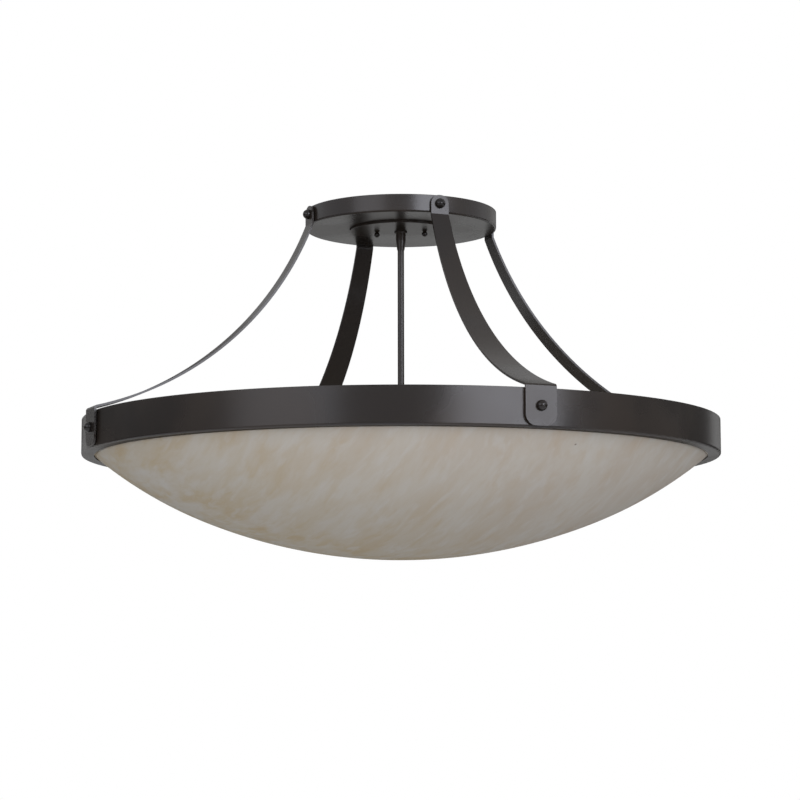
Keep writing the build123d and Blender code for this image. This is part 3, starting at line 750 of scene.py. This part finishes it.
class ToothedWasher:
    """Geometry Nodes that set twisted teeth round a ring, as on an external tooth lock washer.

    The shares are of the washer's width, its thickness or a tooth's length, and TEETH_ROUND is the
    width of all teeth together in root radii.
    """

    ROOT_SHARE = 0.55
    TEETH_ROUND = 3.6
    TOOTH_SHEET = 0.45
    TOOTH_REACH = 1.2
    TOOTH_MIDDLE = 0.4
    RIM_SHEET = 0.5
    RIM_SIDES = 40

    def __init__(self) -> None:
        """Builds the tree."""
        sizes = floats(Inner_Radius=2.2 * MM, Outer_Radius=3.8 * MM, Thickness=1.0 * MM, Twist=0.5)
        inputs = (GEOMETRY, *sizes, Socket("Teeth", "NodeSocketInt", 10), MATERIAL)
        graph, given, leaving = new_group("toothed_washer", "GeometryNodeTree", inputs, (GEOMETRY,))
        self.tree = graph.tree
        inner, outer, thickness = given["Inner Radius"], given["Outer Radius"], given["Thickness"]
        root = graph.math("MULTIPLY_ADD", graph.math("SUBTRACT", outer, inner), self.ROOT_SHARE, inner)
        rim = self._rim(graph, inner, root, thickness)
        length = graph.math("SUBTRACT", outer, root)
        width = graph.math("DIVIDE", graph.math("MULTIPLY", root, self.TEETH_ROUND), given["Teeth"])
        sheet = graph.math("MULTIPLY", thickness, self.TOOTH_SHEET)
        feeds = {"X": graph.math("MULTIPLY", length, self.TOOTH_REACH), "Y": width, "Z": sheet}
        size = graph.add("ShaderNodeCombineXYZ", feeds).outputs[0]
        tooth = graph.add("GeometryNodeMeshCube", {"Size": size}).outputs["Mesh"]
        middle = graph.math("MULTIPLY_ADD", length, self.TOOTH_MIDDLE, root)
        feeds = {"Vertices": given["Teeth"], "Radius": middle}
        circle = graph.add("GeometryNodeMeshCircle", feeds).outputs[0]
        feeds = {"Vector": graph.add("GeometryNodeInputPosition").outputs[0]}
        facing = graph.add("FunctionNodeAlignRotationToVector", feeds, axis="X", pivot_axis="Z").outputs[0]
        twist = graph.add("ShaderNodeCombineXYZ", {"X": given["Twist"]}).outputs[0]
        tilt = graph.add("FunctionNodeEulerToRotation", {0: twist}).outputs[0]
        feeds = {"Rotation": facing, "Rotate By": tilt}
        turned = graph.add("FunctionNodeRotateRotation", feeds, rotation_space="LOCAL").outputs[0]
        feeds = {"Points": circle, "Instance": tooth, "Rotation": turned}
        teeth = graph.add("GeometryNodeInstanceOnPoints", feeds).outputs[0]
        joined = graph.add("GeometryNodeJoinGeometry")
        for piece in (rim, teeth):
            graph.feed(joined.inputs[0], piece)
        graph.end_piece(leaving, joined.outputs[0], given["Material"])

    def _rim(self, graph: Graph, inner: Feed, outer: Feed, thickness: Feed) -> bpy.types.NodeSocket:
        """Makes the washer's flat ring.

        Args:
            graph: The tree's graph.
            inner: The ring's inner radius.
            outer: The ring's outer radius.
            thickness: The washer's thickness over its twisted teeth.

        Returns:
            The ring as a mesh.
        """
        middle = graph.math("MULTIPLY", graph.math("ADD", inner, outer), 0.5)
        feeds = {"Resolution": self.RIM_SIDES, "Radius": middle}
        circle = graph.add("GeometryNodeCurvePrimitiveCircle", feeds).outputs[0]
        height = graph.math("MULTIPLY", thickness, self.RIM_SHEET)
        feeds = {"Width": graph.math("SUBTRACT", outer, inner), "Height": height}
        section = graph.add("GeometryNodeCurvePrimitiveQuadrilateral", feeds).outputs[0]
        return graph.add("GeometryNodeCurveToMesh", {"Curve": circle, "Profile Curve": section}).outputs[0]

    def make(self, material: bpy.types.Material, **sizes: Any) -> bpy.types.Mesh:
        """Makes one washer.

        Args:
            material: The finish of the mesh.
            **sizes: Values of the tree's inputs, named with _ for each space.

        Returns:
            The washer's mesh, centred, its axis on Z.
        """
        return settled_mesh(self.tree, bpy.data.meshes.new("washer_start"), material, sizes)


@dataclass
class Outline:
    """Section of a turned piece: points (radius, height) in order, each cut by a thread or not."""

    points: list[Point] = field(default_factory=list)
    cuts: list[float] = field(default_factory=list)

    def to(self, *points: Point, cut: float = 0.0) -> Outline:
        """Adds points.

        Args:
            *points: The points.
            cut: How much of a thread's depth they take.

        Returns:
            The outline.
        """
        self.points.extend(points)
        self.cuts.extend([cut] * len(points))
        return self

    def arc(self, centre: Point, radius: float, start: float, end: float, steps: int) -> Outline:
        """Adds an arc.

        Args:
            centre: The arc's centre.
            radius: The arc's radius.
            start: The angle it starts at, in radians from straight down.
            end: The angle it ends at.
            steps: How many chords it has.

        Returns:
            The outline.
        """
        for index in range(steps + 1):
            angle = start + (end - start) * index / steps
            self.to((centre[0] + radius * math.sin(angle), centre[1] - radius * math.cos(angle)))
        return self

    def corner(self, corner: Point, after: Point, radius: float, steps: int = 5) -> Outline:
        """Rounds a corner between the last point and the next one.

        Args:
            corner: The sharp corner.
            after: A point on the far side of it.
            radius: The rounding's radius.
            steps: How many chords it has.

        Returns:
            The outline.
        """
        here, last, coming = Vector(corner), Vector(self.points[-1]), Vector(after)
        back, ahead = (last - here).normalized(), (coming - here).normalized()
        half = back.angle(ahead) / 2
        reach, hub = radius / math.tan(half), here + (back + ahead).normalized() * (radius / math.sin(half))
        first, final = here + back * reach - hub, here + ahead * reach - hub
        turn = first.angle_signed(final)
        for index in range(steps + 1):
            spoke = first.copy()
            spoke.rotate(Matrix.Rotation(-turn * index / steps, 2))
            self.to(tuple(hub + spoke))
        return self

    def threaded(
        self, start: Point, end: Point, pitch: float, rows: int = 8, run_out: float = 1.0
    ) -> Outline:
        """Adds a straight threaded stretch, the thread fading out at both ends.

        Args:
            start: Where the stretch starts.
            end: Where it ends.
            pitch: The thread's pitch.
            rows: Rows of points in one turn of the thread.
            run_out: Turns over which the thread fades.

        Returns:
            The outline.
        """
        length = math.dist(start, end)
        count = max(2, round(rows * length / pitch))
        for index in range(count + 1):
            share = index / count
            inside = min(share, 1 - share) * length / pitch
            point = (start[0] + (end[0] - start[0]) * share, start[1] + (end[1] - start[1]) * share)
            self.to(point, cut=min(1.0, inside / run_out))
        return self

    def mesh(self) -> bpy.types.Mesh:
        """Makes the outline a mesh.

        Returns:
            Loose points (radius, 0, height) with their cuts.
        """
        mesh = bpy.data.meshes.new("outline")
        mesh.from_pydata([(radius, 0.0, height) for radius, height in self.points], [], [])
        attribute = mesh.attributes.new(Lathe.CUT, "FLOAT", "POINT")
        attribute.data.foreach_set("value", self.cuts)
        return mesh


def settled_mesh(
    tree: bpy.types.NodeTree, start: bpy.types.Mesh, material: bpy.types.Material, sizes: dict[str, Any]
) -> bpy.types.Mesh:
    """Runs a geometry tree once and keeps its result as a plain mesh.

    Args:
        tree: The geometry tree.
        start: The mesh that the tree starts from.
        material: The value of the tree's Material input.
        sizes: Values of the other inputs, named with _ for each space.

    Returns:
        The result, with its faces pointing outwards.
    """
    carrier = in_scene("carrier", start)
    modifier = carrier.modifiers.new("tree", "NODES")
    modifier.node_group = tree
    values = spaced(sizes) | {"Material": material}
    for item in tree.interface.items_tree:
        if item.item_type == "SOCKET" and item.in_out == "INPUT" and item.name in values:
            modifier[item.identifier] = values[item.name]
    depsgraph = bpy.context.evaluated_depsgraph_get()
    mesh = bpy.data.meshes.new_from_object(carrier.evaluated_get(depsgraph))
    carrier.modifiers.clear()
    bpy.data.objects.remove(carrier)
    shell = bmesh.new()
    shell.from_mesh(mesh)
    bmesh.ops.recalc_face_normals(shell, faces=shell.faces)
    shell.to_mesh(mesh)
    shell.free()
    return mesh


def placed_piece(name: str, mesh: bpy.types.Mesh, places: Iterable[Matrix]) -> bpy.types.Object:
    """Makes one object of a mesh copied to several places, its object left at the origin.

    Args:
        name: The object's name.
        mesh: The mesh to copy, which keeps its material.
        places: Where each copy goes.

    Returns:
        The new object, in the scene.
    """
    joined = bmesh.new()
    for place in places:
        copy = mesh.copy()
        copy.transform(place)
        joined.from_mesh(copy)
        bpy.data.meshes.remove(copy)
    result = bpy.data.meshes.new(name)
    joined.to_mesh(result)
    joined.free()
    result.materials.append(next(slot for slot in mesh.materials if slot))
    result.attributes.remove(result.attributes["material_index"])
    result.shade_smooth()
    result.set_sharp_from_angle(angle=SHARP_EDGE)
    return in_scene(name, result)


def along_x(start: float, height: float) -> Matrix:
    """Lays a piece with its axis on Z along +X, from a distance out and at a height."""
    return Matrix.Translation((start, 0.0, height)) @ Matrix.Rotation(math.radians(90), 4, "Y")


def in_quarter(number: int, place: Matrix) -> Matrix:
    """Turns a place on +X about the stem, to the quarter of the given number, from 1."""
    return Matrix.Rotation(math.radians(90 * (number - 1)), 4, "Z") @ place


# ------------------------------------------------------------------------------ sub-assemblies


@dataclass
class Workshop:
    """What every sub-assembly works with: the frame, the finishes and the two node trees."""

    frame: dict[str, Any]
    palette: Palette = field(default_factory=Palette)
    lathe: Lathe = field(default_factory=Lathe)
    washer: ToothedWasher = field(default_factory=ToothedWasher)

    def dress(self, finish: Finishes, *nodes: str) -> None:
        """Gives CAD nodes a finish.

        Args:
            finish: The finish.
            *nodes: The nodes' names.
        """
        for node in nodes:
            self.frame["nodes"][node].data.materials[0] = self.palette.of(finish)
            log.info("dressed %s in %s", node, finish.value.name)

    def stand_in(self, piece: bpy.types.Object, node: str, body: str) -> None:
        """Makes a piece ride on a body in place of a CAD node.

        Args:
            piece: The new piece.
            node: The CAD node it stands for.
            body: The body it moves with.
        """
        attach(piece, body)
        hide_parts(node)
        log.info("made %s, %d faces, for %s", piece.name, len(piece.data.polygons), node)


@dataclass(frozen=True)
class Thread:
    """A screw thread: its pitch and depth, and the sides that it is turned with."""

    pitch: float
    depth: float
    sides: int
    chamfer: float = 0.4 * MM

    def turned(self, shop: Workshop, outline: Outline, finish: Finishes) -> bpy.types.Mesh:
        """Turns an outline, with this thread in its threaded stretches."""
        sizes = {"Sides": self.sides, "Pitch": self.pitch, "Thread_Depth": self.depth}
        return shop.lathe.turn(outline, shop.palette.of(finish), **sizes)

    def rod(self, shop: Workshop, radius: float, length: float, bore: float = 0.0) -> bpy.types.Mesh:
        """Turns a plated rod or pipe that is threaded all along.

        Args:
            shop: The workshop.
            radius: The thread's crest radius.
            length: The rod's length.
            bore: The pipe's inner radius, or 0.

        Returns:
            The mesh, its axis on Z and one end on the XY plane.
        """
        waist = radius - self.chamfer
        outline = Outline().to((bore, 0.0), (waist, 0.0))
        outline.threaded((radius, self.chamfer), (radius, length - self.chamfer), self.pitch)
        outline.to((waist, length), (bore, length))
        if bore:
            outline.to((bore, 0.0))
        return self.turned(shop, outline, Finishes.ZINC)


PIPE_THREAD = Thread(0.94 * MM, 0.45 * MM, 40)
PIPE_BORE = 3.2 * MM
STUD_THREAD = Thread(0.79 * MM, 0.38 * MM, 20)
LAMP_PITCH = 3.63 * MM


@dataclass
class BowlShell:
    """The marbled bowl, turned from its section: a flat crown, a tighter shoulder, heel and rim."""

    wall: float = 4.0 * MM
    rim_thickness: float = 4.0 * MM
    rim_over_neck: float = 9.5 * MM
    rim_round: float = 1.2 * MM
    heel_round: float = 4.5 * MM
    heel_drop: float = 2.2 * MM
    crown_flatness: float = 1.04
    crown_share: float = 0.60
    sides: int = 240
    steps: int = 26

    def outline(self) -> Outline:
        """Draws the bowl's section between the CAD bowl's lowest point and its rim.

        Returns:
            The section.
        """
        low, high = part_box("bowl")
        rim, rim_top, bottom = high.x, high.z, low.z
        seat = rim_top - self.rim_thickness
        neck = rim - self.rim_over_neck
        rise = seat - self.heel_drop - bottom
        ball = (neck**2 + rise**2) / (2 * rise)
        crown = self.crown_flatness * ball
        bend = self.crown_share * math.asin(neck / ball)
        crown_centre = (0.0, bottom + crown)
        across = neck - crown * math.sin(bend)
        climb = bottom + rise - (crown_centre[1] - crown * math.cos(bend))
        shoulder = (across**2 + climb**2) / (2 * (climb * math.cos(bend) - across * math.sin(bend)))
        hub = ((crown - shoulder) * math.sin(bend), crown_centre[1] - (crown - shoulder) * math.cos(bend))

        def end_angle(inset: float) -> float:
            """Angle at which the shoulder of a face set in from the outer one meets the neck."""
            return math.asin((neck - inset - hub[0]) / (shoulder - inset))

        def on_shoulder(inset: float, angle: float) -> Point:
            """Point of that shoulder, at an angle from straight down."""
            radius = shoulder - inset
            return (hub[0] + radius * math.sin(angle), hub[1] - radius * math.cos(angle))

        def stop(inset: float) -> float:
            """Angle of the last point of that shoulder before its rounded end."""
            return bend + (end_angle(inset) - bend) * (self.steps - 1) / self.steps

        wall, inner_neck = self.wall, neck - self.wall
        outer_heel, inner_heel = on_shoulder(0.0, end_angle(0.0)), on_shoulder(wall, end_angle(wall))
        outline = Outline().arc(crown_centre, crown, 0.0, bend, self.steps)
        outline.arc(hub, shoulder, bend, stop(0.0), self.steps)
        outline.corner(outer_heel, (neck, seat), self.heel_round)
        outline.to((neck, seat))
        outline.corner((rim, seat), (rim, rim_top), self.rim_round)
        outline.corner((rim, rim_top), (inner_neck, rim_top), self.rim_round)
        outline.corner((inner_neck, rim_top), inner_heel, self.rim_round)
        outline.corner(inner_heel, on_shoulder(wall, stop(wall)), self.heel_round - wall)
        outline.arc(hub, shoulder - wall, stop(wall), bend, self.steps)
        return outline.arc(crown_centre, crown - wall, bend, 0.0, self.steps)

    def build(self, shop: Workshop) -> None:
        """Makes the bowl and puts it on its body.

        Args:
            shop: The workshop.
        """
        mesh = shop.lathe.turn(self.outline(), shop.palette.of(Finishes.ALABASTER), Sides=self.sides)
        piece = placed_piece("bowl_shell", mesh, [Matrix.Identity(4)])
        shop.stand_in(piece, "bowl", "bowl")


@dataclass
class MetalFrame:
    """Ring, straps, canopy, disc, stem and cluster in one paint, and the knobs in a darker one."""

    straps: tuple[str, ...] = tuple(f"strap_{number}" for number in QUARTERS)
    carriers: tuple[str, ...] = ("ring", "canopy_pan", "centre_disc", "upper_spacers", "lower_spacers")
    centre: tuple[str, ...] = ("check_ring", "coupling", "stem")
    cluster: tuple[str, ...] = ("cluster_cap", "cluster_nut", "cluster_body", "cluster_finial")
    knobs: tuple[str, ...] = ("upper_knobs", "lower_knobs", "cap_nuts")

    def build(self, shop: Workshop) -> None:
        """Dresses every painted node."""
        shop.dress(Finishes.PAINT, *self.carriers, *self.centre, *self.cluster, *self.straps)
        shop.dress(Finishes.KNOB_PAINT, *self.knobs)


@dataclass
class CeilingHardware:
    """Crossed bars, nuts, and the threaded nipple and studs that the canopy hangs from."""

    stud_radius: float = 2.05 * MM
    plated: tuple[str, ...] = ("box_bar", "stud_bar", "stud_nuts", "nipple_nuts", "upper_nuts", "lower_nuts")

    def build(self, shop: Workshop) -> None:
        """Dresses the plated nodes and makes the threaded ones.

        Args:
            shop: The workshop.
        """
        shop.dress(Finishes.ZINC, *self.plated)
        self._nipple(shop)
        self._studs(shop)

    def _nipple(self, shop: Workshop) -> None:
        """Makes the nipple that joins the bars, the canopy and the coupling.

        Args:
            shop: The workshop.
        """
        low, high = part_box("nipple")
        mesh = PIPE_THREAD.rod(shop, high.x, high.z - low.z, PIPE_BORE)
        piece = placed_piece("threaded_nipple", mesh, [Matrix.Translation((0.0, 0.0, low.z))])
        shop.stand_in(piece, "nipple", "frame")

    def _studs(self, shop: Workshop) -> None:
        """Makes the two mounting studs, which stand at opposite corners of their node's box.

        Args:
            shop: The workshop.
        """
        low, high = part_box("mounting_studs")
        radius = self.stud_radius
        mesh = STUD_THREAD.rod(shop, radius, high.z - low.z)
        corner = Vector((high.x - radius, low.y + radius, 0.0))
        places = [Matrix.Translation(side * corner + Vector((0.0, 0.0, low.z))) for side in (1, -1)]
        shop.stand_in(placed_piece("threaded_studs", mesh, places), "mounting_studs", "frame")


@dataclass
class LockWashers:
    """External tooth washers behind the knobs, at the canopy and at the ring."""

    bore_radius: float = 2.15 * MM
    outer_radius: float = 3.8 * MM
    thickness: float = 1.0 * MM
    teeth: int = 10
    twist: float = 0.45
    ends: tuple[str, ...] = ("upper", "lower")

    def build(self, shop: Workshop) -> None:
        """Makes both sets of washers.

        Args:
            shop: The workshop.
        """
        radii = {"Inner_Radius": self.bore_radius, "Outer_Radius": self.outer_radius}
        sizes = {"Thickness": self.thickness, "Teeth": self.teeth, "Twist": self.twist}
        for end in self.ends:
            node = f"{end}_lock_washers"
            low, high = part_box(node)
            mesh = shop.washer.make(shop.palette.of(Finishes.ZINC), **radii, **sizes)
            place = along_x(high.x - self.thickness / 2, (low.z + high.z) / 2)
            places = [in_quarter(number, place) for number in QUARTERS]
            piece = placed_piece(f"{end}_toothed_washers", mesh, places)
            shop.stand_in(piece, node, "frame")


@dataclass
class LampCluster:
    """Threaded arms, porcelain lampholders, and the screw shells and contacts inside them."""

    arm_length: float = 24.0 * MM
    thread: Thread = Thread(LAMP_PITCH, 0.30 * MM, 72)
    shell_wall: float = 0.50 * MM

    def build(self, shop: Workshop) -> None:
        """Dresses the lampholders and makes the arms and shells.

        Args:
            shop: The workshop.
        """
        shop.dress(Finishes.PORCELAIN, *(f"lampholder_{number}" for number in QUARTERS))
        shop.dress(Finishes.BRASS, *(f"centre_contact_{number}" for number in QUARTERS))
        self._arms(shop)
        for number in QUARTERS:
            self._screw_shell(shop, number)

    def _arms(self, shop: Workshop) -> None:
        """Makes the four arms as one piece, as their node is.

        Args:
            shop: The workshop.
        """
        low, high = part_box("arm_nipples")
        mesh = PIPE_THREAD.rod(shop, (high.z - low.z) / 2, self.arm_length, PIPE_BORE)
        place = along_x(high.x - self.arm_length, (low.z + high.z) / 2)
        piece = placed_piece("threaded_arms", mesh, [in_quarter(number, place) for number in QUARTERS])
        shop.stand_in(piece, "arm_nipples", "frame")

    def _screw_shell(self, shop: Workshop, number: int) -> None:
        """Makes one brass shell with its rolled thread, sized by the first one, which lies on +X.

        Args:
            shop: The workshop.
            number: The lampholder's number.
        """
        low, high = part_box("screw_shell_1")
        radius, height, length = high.y, (low.z + high.z) / 2, high.x - low.x
        inner, pitch = radius - self.shell_wall, self.thread.pitch
        outline = Outline().to((inner, 0.0), (radius, 0.0))
        outline.threaded((radius, 0.0), (radius, length), pitch, rows=10, run_out=0.6)
        outline.threaded((inner, length), (inner, 0.0), pitch, rows=10, run_out=0.6)
        mesh = self.thread.turned(shop, outline, Finishes.BRASS)
        piece = placed_piece(f"rolled_shell_{number}", mesh, [in_quarter(number, along_x(low.x, height))])
        shop.stand_in(piece, f"screw_shell_{number}", "frame")


@dataclass
class Bulbs:
    """Four bulbs: rolled screw bases, black insulators and frosted glass."""

    thread: Thread = Thread(LAMP_PITCH, 0.75 * MM, 72)
    draw_in: float = 3.5 * MM
    skirt: float = 4.0 * MM

    def build(self, shop: Workshop) -> None:
        """Dresses and makes the pieces of each bulb.

        Args:
            shop: The workshop.
        """
        for number in QUARTERS:
            shop.dress(Finishes.INSULATOR, f"bulb_tip_{number}")
            shop.dress(Finishes.GLASS, f"bulb_globe_{number}")
            self._base(shop, number)

    def _base(self, shop: Workshop, number: int) -> None:
        """Makes one screw base, drawn in at its inner end and plain beside the glass.

        Its size is that of the first base, which lies on +X.

        Args:
            shop: The workshop.
            number: The bulb's number.
        """
        low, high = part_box("bulb_base_1")
        radius, height, length = high.y, (low.z + high.z) / 2, high.x - low.x
        start, end = (radius, self.draw_in), (radius, length - self.skirt)
        outline = Outline().to((0.0, 0.0), (radius - self.draw_in, 0.0))
        outline.threaded(start, end, self.thread.pitch, rows=10, run_out=0.5)
        outline.to((radius, length), (0.0, length))
        mesh = self.thread.turned(shop, outline, Finishes.BASE_METAL)
        piece = placed_piece(f"rolled_base_{number}", mesh, [in_quarter(number, along_x(low.x, height))])
        shop.stand_in(piece, f"bulb_base_{number}", f"bulb_{number}")


# ------------------------------------------------------------------------------ studio


def polar(azimuth: float, distance: float, height: float) -> Vector:
    """Point at an azimuth in degrees, a distance from the stem and a height."""
    turn = math.radians(azimuth)
    return Vector((math.sin(turn) * distance, -math.cos(turn) * distance, height))


@dataclass(frozen=True)
class PhotoCamera:
    """Camera that frames the light as the photograph does."""

    azimuth: float = -22.6
    aside: float = -0.0015
    distance: float = 3.3905
    height: float = -0.6806
    pitch: float = 6.83
    roll: float = -0.075
    lens: float = 106.27
    reach: float = 200.0

    def make(self) -> None:
        """Makes the camera and puts it in charge of the scene."""
        data = bpy.data.cameras.new("photo_camera")
        data.lens = self.lens
        data.clip_end = self.reach
        turn = Matrix.Rotation(math.radians(self.azimuth), 4, "Z")
        turn @= Matrix.Rotation(math.radians(90 + self.pitch), 4, "X")
        turn @= Matrix.Rotation(math.radians(self.roll), 4, "Z")
        place = polar(self.azimuth, self.distance, self.height) + self.aside * turn.to_3x3().col[0]
        camera = in_scene("photo_camera", data)
        camera.matrix_world = Matrix.Translation(place) @ turn
        bpy.context.scene.camera = camera


@dataclass(frozen=True)
class SoftBox:
    """Rectangular lamp that faces the light's middle, its azimuth counted from the camera's."""

    name: str
    azimuth: float
    height: float
    width: float
    tall: float
    radiance: float
    in_gloss: bool = True
    distance: float = 2.7
    aim: float = -0.25

    def make(self, front: float) -> None:
        """Makes the lamp, whose power follows from its area and its radiance.

        Args:
            front: The camera's azimuth.
        """
        data = bpy.data.lights.new(self.name, "AREA")
        data.shape = "RECTANGLE"
        data.size, data.size_y = self.width, self.tall
        data.energy = self.radiance * math.pi * self.width * self.tall
        lamp = in_scene(self.name, data)
        lamp.visible_glossy = self.in_gloss
        lamp.location = polar(front + self.azimuth, self.distance, self.height)
        aim = Vector((0.0, 0.0, self.aim)) - lamp.location
        lamp.rotation_euler = aim.to_track_quat("-Z", "Y").to_euler()


@dataclass(frozen=True)
class RoomWall:
    """Curved wall and roof of the dim room behind the camera, which show only in gloss."""

    spread: float = 140.0
    distance: float = 6.0
    low: float = -2.4
    high: float = 5.5
    dim: float = 0.10
    bright: float = 0.85
    roof: float = 0.46
    lit_from: Range = (0.3, 1.3)
    lit_to: Range = (2.2, 4.5)
    steps: int = 24

    def make(self, front: float) -> None:
        """Makes the wall.

        Args:
            front: The camera's azimuth, which the wall is centred on.
        """
        start = front - self.spread
        turns = [start + 2 * self.spread * index / self.steps for index in range(self.steps + 1)]
        points = [polar(turn, self.distance, height) for turn in turns for height in (self.low, self.high)]
        faces = [(2 * i, 2 * i + 2, 2 * i + 3, 2 * i + 1) for i in range(self.steps)]
        faces.append(tuple(range(1, len(points), 2)))
        mesh = bpy.data.meshes.new("room_wall")
        mesh.from_pydata(points, [], faces)
        mesh.materials.append(self._material())
        wall = in_scene("room_wall", mesh)
        for ray in ("camera", "diffuse", "shadow", "transmission"):
            setattr(wall, f"visible_{ray}", False)

    def _material(self) -> bpy.types.Material:
        """Makes a glow, dim near the floor, bright in a band above it and weaker towards the roof.

        Returns:
            The material.
        """
        finish = Finish("room_wall")
        graph = finish.graph
        height = graph.add("ShaderNodeSeparateXYZ", {0: finish.place}).outputs["Z"]
        rise = graph.ramp(height, *self.lit_from, self.dim, self.bright)
        fade = graph.ramp(height, *self.lit_to, 0.0, self.bright - self.roof)
        glow = graph.math("SUBTRACT", rise, fade)
        finish.set(Base_Color=BLACK, Specular_IOR_Level=0.0, Emission_Color=WHITE, Emission_Strength=glow)
        return finish.material


@dataclass
class Studio:
    """Pale floor, white surround, three soft boxes and the dim room behind the camera."""

    camera: PhotoCamera = field(default_factory=PhotoCamera)
    wall: RoomWall = field(default_factory=RoomWall)
    lamps: tuple[SoftBox, ...] = (
        SoftBox("key_box", 34.0, 0.30, 1.7, 1.25, 5.3),
        SoftBox("fill_box", -37.0, 0.30, 1.7, 1.25, 1.45),
        SoftBox("front_box", -10.0, -0.15, 1.4, 1.4, 4.85, in_gloss=False),
    )
    floor_height: float = -2.4
    floor_radius: float = 30.0
    floor_sides: int = 96
    floor_colour: Colour = (0.78, 0.78, 0.77, 1.0)
    floor_roughness: float = 0.9
    near_and_far: Range = (3.0, 8.0)
    near_and_far_glow: Range = (0.20, 0.50)
    light_level: float = 0.50

    def build(self) -> None:
        """Makes the camera, the world, the floor, the lamps and the wall."""
        self.camera.make()
        self._world()
        self._floor()
        for lamp in self.lamps:
            lamp.make(self.camera.azimuth)
        self.wall.make(self.camera.azimuth)

    @staticmethod
    def _seen(graph: Graph, *rays: str) -> bpy.types.NodeSocket:
        """Tells some kinds of rays from others.

        Args:
            graph: The graph that asks.
            *rays: The outputs of Light Path that count.

        Returns:
            1 for rays of those kinds, and 0 for others.
        """
        paths = graph.add("ShaderNodeLightPath").outputs
        seen = paths[rays[0]]
        for ray in rays[1:]:
            seen = graph.math("MAXIMUM", seen, paths[ray])
        return seen

    def _world(self) -> None:
        """White to the camera and in gloss and glass, and a plain level of light to the rest."""
        world = bpy.data.worlds.new("studio")
        bpy.context.scene.world = world
        world.use_nodes = True
        world.node_tree.nodes.clear()
        graph = Graph(world.node_tree)
        seen = self._seen(graph, "Is Camera Ray", "Is Glossy Ray", "Is Transmission Ray")
        light, white = (
            graph.add("ShaderNodeBackground", {"Color": WHITE, "Strength": level}).outputs[0]
            for level in (self.light_level, 1.0)
        )
        mixed = graph.add("ShaderNodeMixShader", {0: seen, 1: light, 2: white})
        graph.add("ShaderNodeOutputWorld", {"Surface": mixed.outputs[0]})

    def _floor(self) -> None:
        """Round pale floor, dim to gloss close below the light, and clear to a camera under it."""
        disc = bmesh.new()
        bmesh.ops.create_circle(disc, cap_ends=True, segments=self.floor_sides, radius=self.floor_radius)
        mesh = bpy.data.meshes.new("floor")
        disc.to_mesh(mesh)
        disc.free()
        mesh.transform(Matrix.Translation((0.0, 0.0, self.floor_height)))
        finish = Finish("floor")
        graph = finish.graph
        finish.set(Base_Color=self.floor_colour, Roughness=self.floor_roughness, Emission_Color=WHITE)
        away = graph.vector("LENGTH", finish.place, result="Value")
        glow = graph.ramp(away, *self.near_and_far, *self.near_and_far_glow)
        seen = self._seen(graph, "Is Glossy Ray", "Is Transmission Ray")
        finish.set(Emission_Strength=graph.math("MULTIPLY", seen, glow))
        under = graph.add("ShaderNodeNewGeometry").outputs["Backfacing"]
        under = graph.math("MULTIPLY", under, self._seen(graph, "Is Camera Ray"))
        clear = graph.add("ShaderNodeBsdfTransparent").outputs[0]
        surface = graph.add("ShaderNodeMixShader", {0: under, 1: finish.shader.outputs[0], 2: clear})
        graph.feed(graph.tree.nodes["Material Output"].inputs["Surface"], surface.outputs[0])
        mesh.materials.append(finish.material)
        in_scene("floor", mesh)


# ------------------------------------------------------------------------------ main


def main() -> None:
    """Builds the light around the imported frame, then the studio."""
    logging.basicConfig(level=logging.INFO, format="%(name)s: %(message)s")
    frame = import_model()
    bpy.context.scene.view_settings.view_transform = "Standard"
    shop = Workshop(frame)
    for part in (MetalFrame(), BowlShell(), CeilingHardware(), LockWashers(), LampCluster(), Bulbs()):
        part.build(shop)
    Studio().build()
    bpy.context.view_layer.update()


if __name__ == "__main__":
    main()
